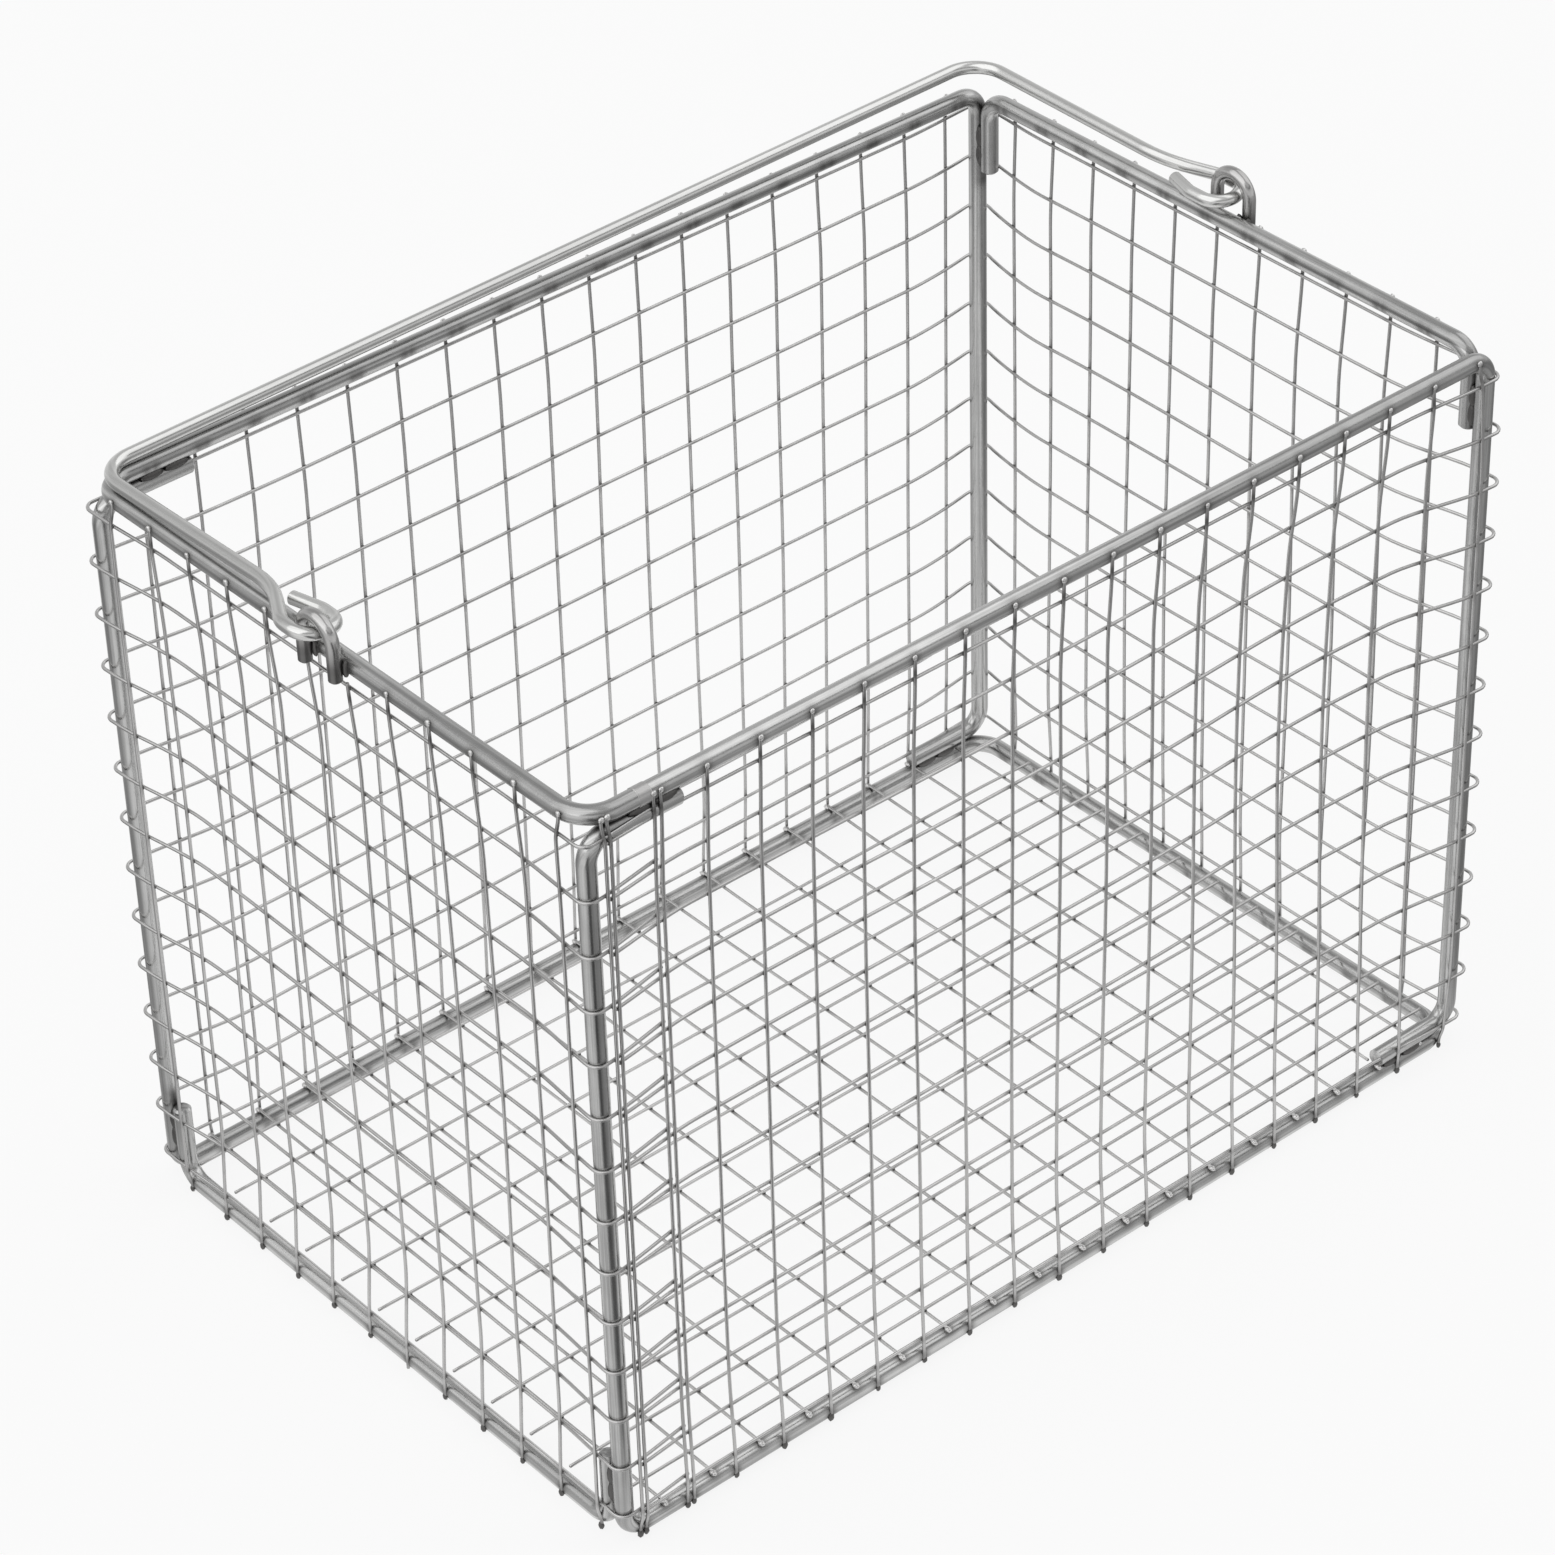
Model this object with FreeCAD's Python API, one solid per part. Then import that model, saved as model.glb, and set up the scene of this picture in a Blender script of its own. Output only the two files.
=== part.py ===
import FreeCAD, Part
import math
import os

# Wire mesh basket with a bail handle, in millimetres.
# The frame is four lengths of round wire and two staples, bent and welded.
# Origin: middle of the footprint, on the surface that the bottom rails stand on.
# +X runs along the long side, +Y points to the side that the bail lies on.

# Frame, measured between wire axes
FRAME_LENGTH = 235.0
FRAME_WIDTH = 152.5
FRAME_HEIGHT = 174.5
FRAME_WIRE = 4.0
RAIL_BEND = 7.0
POST_BEND = 5.0
LEG_REACH = 22.0
STAPLE_LEG = 18.5
BUTT_FROM_POST = 13.0
FRAME_CHAMFER = 0.5

# Mesh
MESH_WIRE = 1.04
MESH_PITCH = 12.7
HOOP_COUNT = 14
HOOP_FROM_RAIL = 4.7
LAP_LENGTH = 15.5
LAP_RISE = 1.2
LAP_END_RISE = 2.2
LAP_JOG_RUN = 14.0
LAP_UPRIGHT_SHIFT = 1.7
HOOP_STUB = 1.3
UPRIGHT_TOP_REACH = 0.6
UPRIGHT_FOOT_GAP = 0.4
UPRIGHT_EAR_GAP = 0.3
FLOOR_WIRE_OVERHANG = 1.2
FLOOR_WIRE_END_ANGLE = 45.0

# The thin wires are many, so each has eight flats and its turns are mitred
MESH_FLATS = 8
TURN_MITRES = 3

# Ears that hold the bail
EAR_WIRE = 2.9
EAR_SPREAD = 9.5
EAR_LEG_TOP = 4.6
EAR_FOOT_DROP = 3.0
NEAR_EAR_SHIFT = -1.6
FAR_EAR_SHIFT = 0.0

# Bail handle; rises are heights of its axis above the axis of the rim rails
BAIL_WIRE = 2.9
BAIL_BEND = 8.0
BAIL_CHAMFER = 0.4
BAIL_RAIL_GAP = 0.3
BAIL_FAR_LIFT = 4.1
KNEE_REACH = 17.0
KNEE_BEND = 20.0
NEAR_KNEE_RISE = 5.6
FAR_KNEE_RISE = 6.9
HOOK_EAR_GAP = 0.4
HOOK_TURN = 4.8
HOOK_TURN_BEND = 4.5
HOOK_OUTER_BEND = 3.6
NEAR_HOOK_SLANT = 0.0
FAR_HOOK_SLANT = 3.4
HOOK_FOOT = -1.7
HOOK_BEND_REACH = 6.8
HOOK_SIDE_BEND = 5.0
NEAR_OUTER_RISE = 6.3
FAR_OUTER_RISE = 4.9
HOOK_INNER_RISE = 4.7
HOOK_TIP_REACH = 13.2
HOOK_TIP_CLOSE = 1.6
NEAR_TIP_RISE = 4.3
FAR_TIP_RISE = 5.0
SWING_AXIS_RISE = 5.4
SWING_AXIS_SHIFT = -0.95

# Points closer than this are one point
SAME_POINT = 0.001

# Sizes that follow from the ones above
FRAME_R = FRAME_WIRE / 2
MESH_R = MESH_WIRE / 2
EAR_R = EAR_WIRE / 2
BAIL_R = BAIL_WIRE / 2
POST_X = FRAME_LENGTH / 2
POST_Y = FRAME_WIDTH / 2
BASE_Z = FRAME_R
RIM_Z = BASE_Z + FRAME_HEIGHT
HOOP_OUT = FRAME_R + MESH_R
UPRIGHT_OUT = HOOP_OUT + MESH_WIRE
EAR_X = POST_X + FRAME_R + EAR_R
BAIL_AXIS_Z = RIM_Z + SWING_AXIS_RISE
BAIL_AXIS_Y = SWING_AXIS_SHIFT


def vec(point):
    return FreeCAD.Vector(*point)


def corner_arc(before, corner, after, radius):
    """Tangent points and middle of the arc that rounds one corner of a path."""
    to_before = (before - corner).normalize()
    to_after = (after - corner).normalize()
    half_angle = to_before.getAngle(to_after) / 2
    setback = radius / math.tan(half_angle)
    bisector = (to_before + to_after).normalize()
    centre = corner + bisector * (radius / math.sin(half_angle))
    start = corner + to_before * setback
    end = corner + to_after * setback
    middle = centre - bisector * radius
    return start, middle, end


def bent_path(points, radii):
    """Straight runs joined by tangent arcs; radii holds one bend per inner point."""
    corners = [vec(point) for point in points]
    edges = []
    here = corners[0]
    for index, radius in enumerate(radii, start=1):
        start, middle, end = corner_arc(corners[index - 1], corners[index], corners[index + 1], radius)
        if (start - here).Length > SAME_POINT:
            edges.append(Part.LineSegment(here, start).toShape())
        edges.append(Part.Arc(start, middle, end).toShape())
        here = end
    if (corners[-1] - here).Length > SAME_POINT:
        edges.append(Part.LineSegment(here, corners[-1]).toShape())
    return Part.Wire(edges)


def round_section(at, along, radius):
    return Part.Face(Part.Wire(Part.makeCircle(radius, at, along)))


def chamfer_cut_ends(bar, ends, size):
    """Breaks the edge round each cut end, as a sheared and tumbled wire has it."""
    edges = []
    for edge in bar.Edges:
        if not isinstance(edge.Curve, Part.Circle):
            continue
        for end in ends:
            if (edge.Curve.Center - end).Length < SAME_POINT and edge.isClosed():
                edges.append(edge)
    return bar.makeChamfer(size, edges)


def bent_wire(points, radii, diameter, chamfer=0.0):
    """Round wire bent along a path of straight runs and tangent arcs."""
    path = bent_path(points, radii)
    start = vec(points[0])
    along = (vec(points[1]) - start).normalize()
    bar = path.makePipe(round_section(start, along, diameter / 2))
    if bar.ShapeType != "Solid":
        bar = bar.Solids[0]
    if chamfer > 0:
        bar = chamfer_cut_ends(bar, [start, vec(points[-1])], chamfer)
        if bar.ShapeType != "Solid":
            bar = bar.Solids[0]
    return bar


def centred_places(count, pitch):
    """Places of a row of wires that is centred on zero."""
    return [(index - (count - 1) / 2) * pitch for index in range(count)]


def full_row_count(length, pitch, margin):
    """How many wires fit on a wall with at least this margin to each post axis."""
    return int((length - 2 * margin) / pitch) + 1


def mitred_turn(before, corner, after, radius):
    """Corners of the turn whose short straight runs touch an arc of this radius."""
    run_in = (corner - before).normalize()
    run_out = (after - corner).normalize()
    turn = run_in.getAngle(run_out)
    axis = run_in.cross(run_out)
    start = corner - run_in * (radius * math.tan(turn / 2))
    centre = start + axis.cross(run_in).normalize() * radius
    share = turn / TURN_MITRES
    spoke = (start - centre) * (1 / math.cos(share / 2))
    angles = [math.degrees(share * (index + 0.5)) for index in range(TURN_MITRES)]
    return [centre + FreeCAD.Rotation(axis, angle).multVec(spoke) for angle in angles]


def mitred_route(points, radii):
    """Route of straight runs; a corner with no radius keeps its single mitre."""
    corners = [vec(point) for point in points]
    route = [corners[0]]
    for before, corner, after, radius in zip(corners, corners[1:], corners[2:], radii):
        route.extend(mitred_turn(before, corner, after, radius) if radius else [corner])
    route.append(corners[-1])
    return route


def flat_sided_section(at, along, outward):
    """Corner points of the thin wire's section, with one flat square to outward."""
    sideways = along.cross(outward)
    half_flat = math.pi / MESH_FLATS
    reach = MESH_R / math.cos(half_flat)
    angles = [half_flat * (2 * index + 1) for index in range(MESH_FLATS)]
    return [at + (outward * math.cos(angle) + sideways * math.sin(angle)) * reach for angle in angles]


def flat_face(points):
    return Part.Face(Part.makePolygon(points + points[:1]))


def flat_faced_solid(rings):
    """Closed solid of flat faces between rings of points, with both ends filled."""
    faces = [flat_face(rings[0]), flat_face(rings[-1])]
    for low, high in zip(rings, rings[1:]):
        for index in range(MESH_FLATS):
            after = (index + 1) % MESH_FLATS
            faces.append(flat_face([low[index], low[after], high[after], high[index]]))
    shell = Part.makeShell(faces)
    shell.sewShape()
    solid = Part.makeSolid(shell)
    if solid.Volume < 0:
        solid.reverse()
    return solid


def thin_wire(route, outward):
    """Thin wire along straight runs: its section is carried on to the mitre at each turn."""
    runs = [(after - before).normalize() for before, after in zip(route, route[1:])]
    mitres = [(before + after).normalize() for before, after in zip(runs, runs[1:])] + [runs[-1]]
    section = flat_sided_section(route[0], runs[0], vec(outward))
    rings = [section]
    for corner, run, mitre in zip(route[1:], runs, mitres):
        section = [point + run * ((corner - point).dot(mitre) / run.dot(mitre)) for point in section]
        rings.append(section)
    return flat_faced_solid(rings)


# Frame wires


def rim_wire():
    """From the butt weld round two rim corners, along the far rail and down a post."""
    z = RIM_Z
    foot_z = BASE_Z + FRAME_WIRE
    points = [
        (-POST_X + BUTT_FROM_POST, -POST_Y, z),
        (-POST_X, -POST_Y, z),
        (-POST_X, POST_Y, z),
        (POST_X, POST_Y, z),
        (POST_X, POST_Y, foot_z),
        (POST_X - LEG_REACH, POST_Y, foot_z),
    ]
    return bent_wire(points, [RAIL_BEND, RAIL_BEND, POST_BEND, POST_BEND], FRAME_WIRE)


def rim_closer_wire():
    """From the butt weld along the near rail and down the post at its end."""
    foot_z = BASE_Z + FRAME_WIRE
    points = [
        (-POST_X + BUTT_FROM_POST, -POST_Y, RIM_Z),
        (POST_X, -POST_Y, RIM_Z),
        (POST_X, -POST_Y, foot_z),
        (POST_X - LEG_REACH, -POST_Y, foot_z),
    ]
    return bent_wire(points, [POST_BEND, POST_BEND], FRAME_WIRE)


def base_wire():
    """Three bottom rails, two posts, and two short legs under the rim."""
    leg_z = RIM_Z - FRAME_WIRE
    points = [
        (-POST_X + LEG_REACH, POST_Y, leg_z),
        (-POST_X, POST_Y, leg_z),
        (-POST_X, POST_Y, BASE_Z),
        (POST_X, POST_Y, BASE_Z),
        (POST_X, -POST_Y, BASE_Z),
        (-POST_X, -POST_Y, BASE_Z),
        (-POST_X, -POST_Y, leg_z),
        (-POST_X + LEG_REACH, -POST_Y, leg_z),
    ]
    radii = [POST_BEND, POST_BEND, RAIL_BEND, RAIL_BEND, POST_BEND, POST_BEND]
    return bent_wire(points, radii, FRAME_WIRE, FRAME_CHAMFER)


def staple(x, rail_z, leg_direction):
    """Short rail between two posts with both ends bent to lie beside the posts."""
    leg_y = POST_Y - FRAME_WIRE
    leg_z = rail_z + leg_direction * STAPLE_LEG
    points = [
        (x, leg_y, leg_z),
        (x, leg_y, rail_z),
        (x, -leg_y, rail_z),
        (x, -leg_y, leg_z),
    ]
    return bent_wire(points, [POST_BEND, POST_BEND], FRAME_WIRE, FRAME_CHAMFER)


# Side mesh: one strip of welded mesh wrapped round the posts, lapped near one corner


def hoop_heights():
    """The first and last hoop keep their distance to the rails, the rest are evenly spread."""
    first = BASE_Z + HOOP_FROM_RAIL
    spacing = (FRAME_HEIGHT - 2 * HOOP_FROM_RAIL) / (HOOP_COUNT - 1)
    return [first + index * spacing for index in range(HOOP_COUNT)]


def lap_start_x():
    """First upright of the strip, just past the corner post."""
    return near_long_places()[0] + LAP_UPRIGHT_SHIFT


def lap_end_x():
    """Where the hoops end, past the second upright of the strip."""
    return -POST_X + LAP_LENGTH + HOOP_STUB


def jog_end_y():
    """Where the hoops have stepped up, just before the post that they lap round."""
    return -POST_Y + 2 * HOOP_OUT


def near_long_places():
    return centred_places(full_row_count(FRAME_LENGTH, MESH_PITCH, HOOP_OUT), MESH_PITCH)


def far_long_places():
    return centred_places(len(near_long_places()) - 1, MESH_PITCH)


def near_short_places():
    return centred_places(full_row_count(FRAME_WIDTH, MESH_PITCH, HOOP_OUT), MESH_PITCH)


def far_short_places():
    return centred_places(len(near_short_places()) - 1, MESH_PITCH)


def hoop(z):
    """One horizontal wire of the strip, once round the posts and over its own start."""
    x = POST_X + HOOP_OUT
    y = POST_Y + HOOP_OUT
    lap_z = z + LAP_RISE
    points = [
        (lap_start_x() - HOOP_STUB, -y, z),
        (x, -y, z),
        (x, y, z),
        (-x, y, z),
        (-x, jog_end_y() + LAP_JOG_RUN, z),
        (-x, jog_end_y(), lap_z),
        (-x, -y, lap_z),
        (lap_end_x(), -y, z + LAP_END_RISE),
    ]
    radii = [HOOP_OUT, HOOP_OUT, HOOP_OUT, 0, 0, HOOP_OUT]
    return thin_wire(mitred_route(points, radii), (0, -1, 0))


def upright(place, wall, ear_legs):
    """One straight vertical wire outside the hoops, from the floor to the rim or an ear."""
    top_z = RIM_Z + UPRIGHT_TOP_REACH
    if is_under_ear(place, ear_legs):
        top_z = RIM_Z - EAR_FOOT_DROP - UPRIGHT_EAR_GAP
    route = [vec(wall(place, UPRIGHT_OUT) + (z,)) for z in (UPRIGHT_FOOT_GAP, top_z)]
    outward = vec(wall(0, 1) + (0,)) - vec(wall(0, 0) + (0,))
    return thin_wire(route, outward)


def is_under_ear(place, ear_legs):
    reach = EAR_R + MESH_R + UPRIGHT_EAR_GAP
    return any(abs(place - leg) < reach for leg in ear_legs)


def wall_uprights(places, wall, ear_legs=()):
    return Part.makeCompound([upright(place, wall, ear_legs) for place in places])


def near_long_wall(place, out):
    return (place, -POST_Y - out)


def far_long_wall(place, out):
    return (place, POST_Y + out)


def near_short_wall(place, out):
    return (-POST_X - out, place)


def far_short_wall(place, out):
    return (POST_X + out, place)


def ear_legs_at(middle_y):
    return [middle_y - EAR_SPREAD / 2, middle_y + EAR_SPREAD / 2]


def strip_start_uprights():
    """The two uprights that double the first two where the strip laps itself."""
    first = lap_start_x()
    places = [first, first + MESH_PITCH]
    return wall_uprights(places, near_long_wall)


# Floor mesh: a flat panel laid on the bottom rails


def floor_cross_wire(x):
    """Runs between the long rails and ends on them, or inside a short leg."""
    end_y = POST_Y + FLOOR_WIRE_OVERHANG
    if x > POST_X - LEG_REACH - MESH_WIRE:
        end_y = POST_Y - FRAME_R
    z = BASE_Z + FRAME_R + MESH_R
    return thin_wire([vec((x, -end_y, z)), vec((x, end_y, z))], (0, 0, 1))


def floor_long_wire(y):
    """Runs between the short rails, on top of the cross wires."""
    end_x = POST_X - FRAME_R * math.cos(math.radians(FLOOR_WIRE_END_ANGLE))
    z = BASE_Z + FRAME_R + MESH_WIRE + MESH_R
    return thin_wire([vec((-end_x, y, z)), vec((end_x, y, z))], (0, 0, 1))


# Ears and bail


def ear(side, middle_y):
    """Inverted U of wire welded upright on the outside of a short rim rail."""
    x = side * EAR_X
    foot_z = RIM_Z - EAR_FOOT_DROP
    half = EAR_SPREAD / 2
    arch_z = RIM_Z + EAR_LEG_TOP + half
    points = [
        (x, middle_y - half, foot_z),
        (x, middle_y - half, arch_z),
        (x, middle_y + half, arch_z),
        (x, middle_y + half, foot_z),
    ]
    return bent_wire(points, [half, half], EAR_WIRE, BAIL_CHAMFER)


def hook_points(side, ear_y, slant, rises):
    """One arm from the free tip of its hook, round the ear's leg, to the arm's corner."""
    tip_rise, outer_rise, knee_rise, corner_rise = rises
    outer_x = EAR_X + EAR_R + HOOK_EAR_GAP + BAIL_R
    inner_x = outer_x - 2 * HOOK_TURN
    return [
        (side * (inner_x + HOOK_TIP_CLOSE), HOOK_TIP_REACH, RIM_Z + tip_rise),
        (side * inner_x, ear_y + HOOK_BEND_REACH, RIM_Z + HOOK_INNER_RISE),
        (side * inner_x, HOOK_FOOT - slant / 2, RIM_Z + HOOK_INNER_RISE),
        (side * outer_x, HOOK_FOOT + slant / 2, RIM_Z + outer_rise),
        (side * outer_x, ear_y + HOOK_BEND_REACH, RIM_Z + outer_rise),
        (side * POST_X, KNEE_REACH, RIM_Z + knee_rise),
        (side * POST_X, POST_Y, RIM_Z + corner_rise),
    ]


def bail():
    """U of wire: a crossbar, two arms over the short rails and a hook on each."""
    rest_rise = FRAME_R + BAIL_R + BAIL_RAIL_GAP
    near_rises = (NEAR_TIP_RISE, NEAR_OUTER_RISE, NEAR_KNEE_RISE, rest_rise)
    far_rises = (FAR_TIP_RISE, FAR_OUTER_RISE, FAR_KNEE_RISE, rest_rise + BAIL_FAR_LIFT)
    near = hook_points(-1, NEAR_EAR_SHIFT, NEAR_HOOK_SLANT, near_rises)
    far = hook_points(1, FAR_EAR_SHIFT, FAR_HOOK_SLANT, far_rises)
    points = near + list(reversed(far))
    arm_bends = [HOOK_SIDE_BEND, HOOK_TURN_BEND, HOOK_OUTER_BEND, HOOK_SIDE_BEND, KNEE_BEND, BAIL_BEND]
    radii = arm_bends + list(reversed(arm_bends))
    return bent_wire(points, radii, BAIL_WIRE, BAIL_CHAMFER)


def build_nodes():
    nodes = {
        "rim_wire": rim_wire(),
        "rim_closer_wire": rim_closer_wire(),
        "base_wire": base_wire(),
        "rim_staple": staple(POST_X, RIM_Z, -1),
        "foot_staple": staple(-POST_X, BASE_Z, 1),
        "near_ear": ear(-1, NEAR_EAR_SHIFT),
        "far_ear": ear(1, FAR_EAR_SHIFT),
        "bail_handle": bail(),
        "near_long_uprights": wall_uprights(near_long_places(), near_long_wall),
        "far_long_uprights": wall_uprights(far_long_places(), far_long_wall),
        "near_short_uprights": wall_uprights(near_short_places(), near_short_wall, ear_legs_at(NEAR_EAR_SHIFT)),
        "far_short_uprights": wall_uprights(far_short_places(), far_short_wall, ear_legs_at(FAR_EAR_SHIFT)),
        "strip_start_uprights": strip_start_uprights(),
        "floor_cross_wires": Part.makeCompound([floor_cross_wire(x) for x in far_long_places()]),
        "floor_long_wires": Part.makeCompound([floor_long_wire(y) for y in near_short_places()]),
    }
    for number, z in enumerate(hoop_heights(), start=1):
        nodes[f"side_mesh_hoop_{number:02d}"] = hoop(z)
    return nodes


def main():
    os.makedirs("parts", exist_ok=True)
    for name, shape in build_nodes().items():
        shape.exportStep(f"parts/{name}.step")


main()
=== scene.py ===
import logging
import math
from dataclasses import dataclass
from enum import Enum
from typing import Mapping, Sequence

import bpy
import numpy as np
from mathutils import Matrix, Vector


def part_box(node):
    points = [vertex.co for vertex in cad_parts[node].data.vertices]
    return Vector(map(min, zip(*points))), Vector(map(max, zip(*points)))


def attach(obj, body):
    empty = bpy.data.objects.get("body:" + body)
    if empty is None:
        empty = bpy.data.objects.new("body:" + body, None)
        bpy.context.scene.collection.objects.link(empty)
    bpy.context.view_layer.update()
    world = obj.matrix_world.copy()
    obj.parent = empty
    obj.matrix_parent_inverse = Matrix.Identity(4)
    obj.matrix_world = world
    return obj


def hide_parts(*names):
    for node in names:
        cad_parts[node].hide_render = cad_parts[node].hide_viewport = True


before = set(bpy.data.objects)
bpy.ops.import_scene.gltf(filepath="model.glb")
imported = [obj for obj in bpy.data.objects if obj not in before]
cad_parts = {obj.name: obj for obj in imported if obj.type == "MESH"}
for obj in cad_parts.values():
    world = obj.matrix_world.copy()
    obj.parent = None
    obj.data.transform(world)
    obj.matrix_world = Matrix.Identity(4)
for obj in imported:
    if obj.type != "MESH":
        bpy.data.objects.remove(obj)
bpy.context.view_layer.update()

# Wire mesh basket with a bail handle. Lengths are millimetres until a mesh is made.

MM = 0.001
SEED = 41
X, Y, Z = np.eye(3)
SWEEP_REFERENCE = (X + Y + Z) / math.sqrt(3.0)
WHITE = (1.0, 1.0, 1.0, 1.0)
LOG = logging.getLogger("basket")

Array = np.ndarray
Point = tuple[float, float, float]
Levels = tuple[tuple[float, float], ...]
Tree = bpy.types.NodeTree
Socket = bpy.types.NodeSocket
Colour = Socket | tuple[float, ...]


class Body(Enum):
    """The two bodies of the object that drawn pieces ride on."""

    BASKET = "basket"
    HANDLE = "handle"


class Slot(Enum):
    """Material slots of the record."""

    FRAME = "frame_wire"
    EAR = "ear_wire"
    HANDLE = "handle_wire"
    MESH = "mesh_wire"


class Wall(Enum):
    """The four walls: index of the axis across the wall, and its side of zero."""

    NEAR_LONG = (1, -1)
    FAR_LONG = (1, 1)
    NEAR_SHORT = (0, -1)
    FAR_SHORT = (0, 1)

    @property
    def out(self) -> Array:
        """Returns: the direction that the wall faces."""
        axis, side = self.value
        return side * np.eye(3)[axis]


# Sizes


@dataclass(frozen=True)
class FrameSizes:
    """Sizes of the frame, between wire axes, read from the fixed model's boxes.

    Args:
        post_x, post_y: Half the distance between posts along the long and the short side.
        base_z, rim_z: Height of the bottom rails' and the rim rails' axes.
    """

    post_x: float
    post_y: float
    base_z: float
    rim_z: float
    wire: float = 4.0
    rail_bend: float = 7.0
    post_bend: float = 5.0
    leg_reach: float = 22.0
    staple_leg: float = 18.5
    butt_from_post: float = 13.0
    end_break: float = 0.5

    @property
    def radius(self) -> float:
        """Returns: radius of the frame wire."""
        return self.wire / 2

    def post(self, axis: int) -> float:
        """Args: axis: 0 for X, 1 for Y. Returns: half the distance between posts along it."""
        return (self.post_x, self.post_y)[axis]

    @classmethod
    def from_model(cls) -> "FrameSizes":
        """Returns: sizes whose posts and rails lie on those of the fixed model."""
        _, rim_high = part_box("rim_wire")
        base_low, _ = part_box("base_wire")
        radius = cls.wire / 2
        return cls(
            post_x=rim_high.x / MM - radius,
            post_y=rim_high.y / MM - radius,
            base_z=base_low.z / MM + radius,
            rim_z=rim_high.z / MM - radius,
        )


@dataclass(frozen=True)
class MeshSizes:
    """Sizes of the welded mesh.

    Args:
        hoop_heights: Height of each horizontal wire where the strip starts, lowest first.
        wire: Thickness of the drawn wires.
        solid_wire: Thickness of the solid wires that they stand for.
    """

    hoop_heights: tuple[float, ...]
    wire: float = 0.74
    solid_wire: float = 1.04
    pitch: float = 12.7
    lap_length: float = 15.5
    lap_rise: float = 1.2
    lap_jog_run: float = 14.0
    lap_jog_bend: float = 30.0
    lap_shift: float = 1.7
    lap_end_rise: float = 2.2
    stub: float = 1.3
    top_reach: float = 0.6
    foot_gap: float = 0.4
    ear_gap: float = 0.3
    floor_overhang: float = 1.2
    weld_sink: float = 0.16
    end_break: float = 0.12

    @property
    def radius(self) -> float:
        """Returns: radius of the mesh wire."""
        return self.wire / 2

    @classmethod
    def from_model(cls) -> "MeshSizes":
        """Returns: sizes with the height of each hoop read from its own box."""
        names = sorted(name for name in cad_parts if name.startswith("side_mesh_hoop"))
        return cls(tuple(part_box(name)[0].z / MM + cls.solid_wire / 2 for name in names))


@dataclass(frozen=True)
class BailSizes:
    """Sizes of the bail and its ears; rises are above the rim's axis, pairs near then far."""

    wire: float = 2.9
    bend: float = 8.0
    end_break: float = 0.4
    rail_gap: float = 0.3
    far_lift: float = 4.1
    knee_reach: float = 17.0
    knee_bend: float = 20.0
    knee_rises: tuple[float, float] = (5.6, 6.9)
    ear_gap: float = 0.4
    turn: float = 4.8
    turn_bend: float = 4.5
    outer_bend: float = 3.6
    side_bend: float = 5.0
    slants: tuple[float, float] = (0.0, 3.4)
    foot: float = -1.7
    bend_reach: float = 6.8
    outer_rises: tuple[float, float] = (6.3, 4.9)
    inner_rise: float = 4.7
    tip_reach: float = 13.2
    tip_close: float = 1.6
    tip_rises: tuple[float, float] = (4.3, 5.0)
    ear_wire: float = 2.9
    ear_spread: float = 9.5
    ear_leg_top: float = 4.6
    ear_foot_drop: float = 3.0
    ear_shifts: tuple[float, float] = (-1.6, 0.0)


# Surfaces


@dataclass
class Surface:
    """A surface as arrays, before it becomes a mesh.

    Args:
        points: Corner points, one row each.
        quads: Four point numbers per row.
        tris: Three point numbers per row.
        place: Place on the wire: two across its section and one along it.
        heat: How much each point was darkened by welding, and at the side mesh's crossings also by painted
            contact shade, 0 to 1, or one value for all.
    """

    points: Array
    quads: Array
    tris: Array
    place: Array
    heat: Array | float = 0.0

    def __post_init__(self) -> None:
        """Gives every point its own heat."""
        self.heat = np.broadcast_to(self.heat, len(self.points)).astype(float)


def joined(surfaces: Sequence[Surface]) -> Surface:
    """Args: surfaces: in order. Returns: one surface with every point and face of them."""
    starts = np.cumsum([0] + [len(surface.points) for surface in surfaces[:-1]])
    return Surface(
        points=np.vstack([surface.points for surface in surfaces]),
        quads=np.vstack([surface.quads + start for surface, start in zip(surfaces, starts)]),
        tris=np.vstack([surface.tris + start for surface, start in zip(surfaces, starts)]),
        place=np.vstack([surface.place for surface in surfaces]),
        heat=np.concatenate([surface.heat for surface in surfaces]),
    )


def unit(vectors: Array) -> Array:
    """Args: vectors: one direction, or one per row. Returns: each at length one."""
    return vectors / np.linalg.norm(vectors, axis=-1, keepdims=True)


def eased(distance: Array, reach: float) -> Array:
    """Args: distance, reach. Returns: a smooth rise from 0 at zero to 1 at the reach."""
    share = np.clip(distance / reach, 0.0, 1.0)
    return share * share * (3 - 2 * share)


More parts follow.
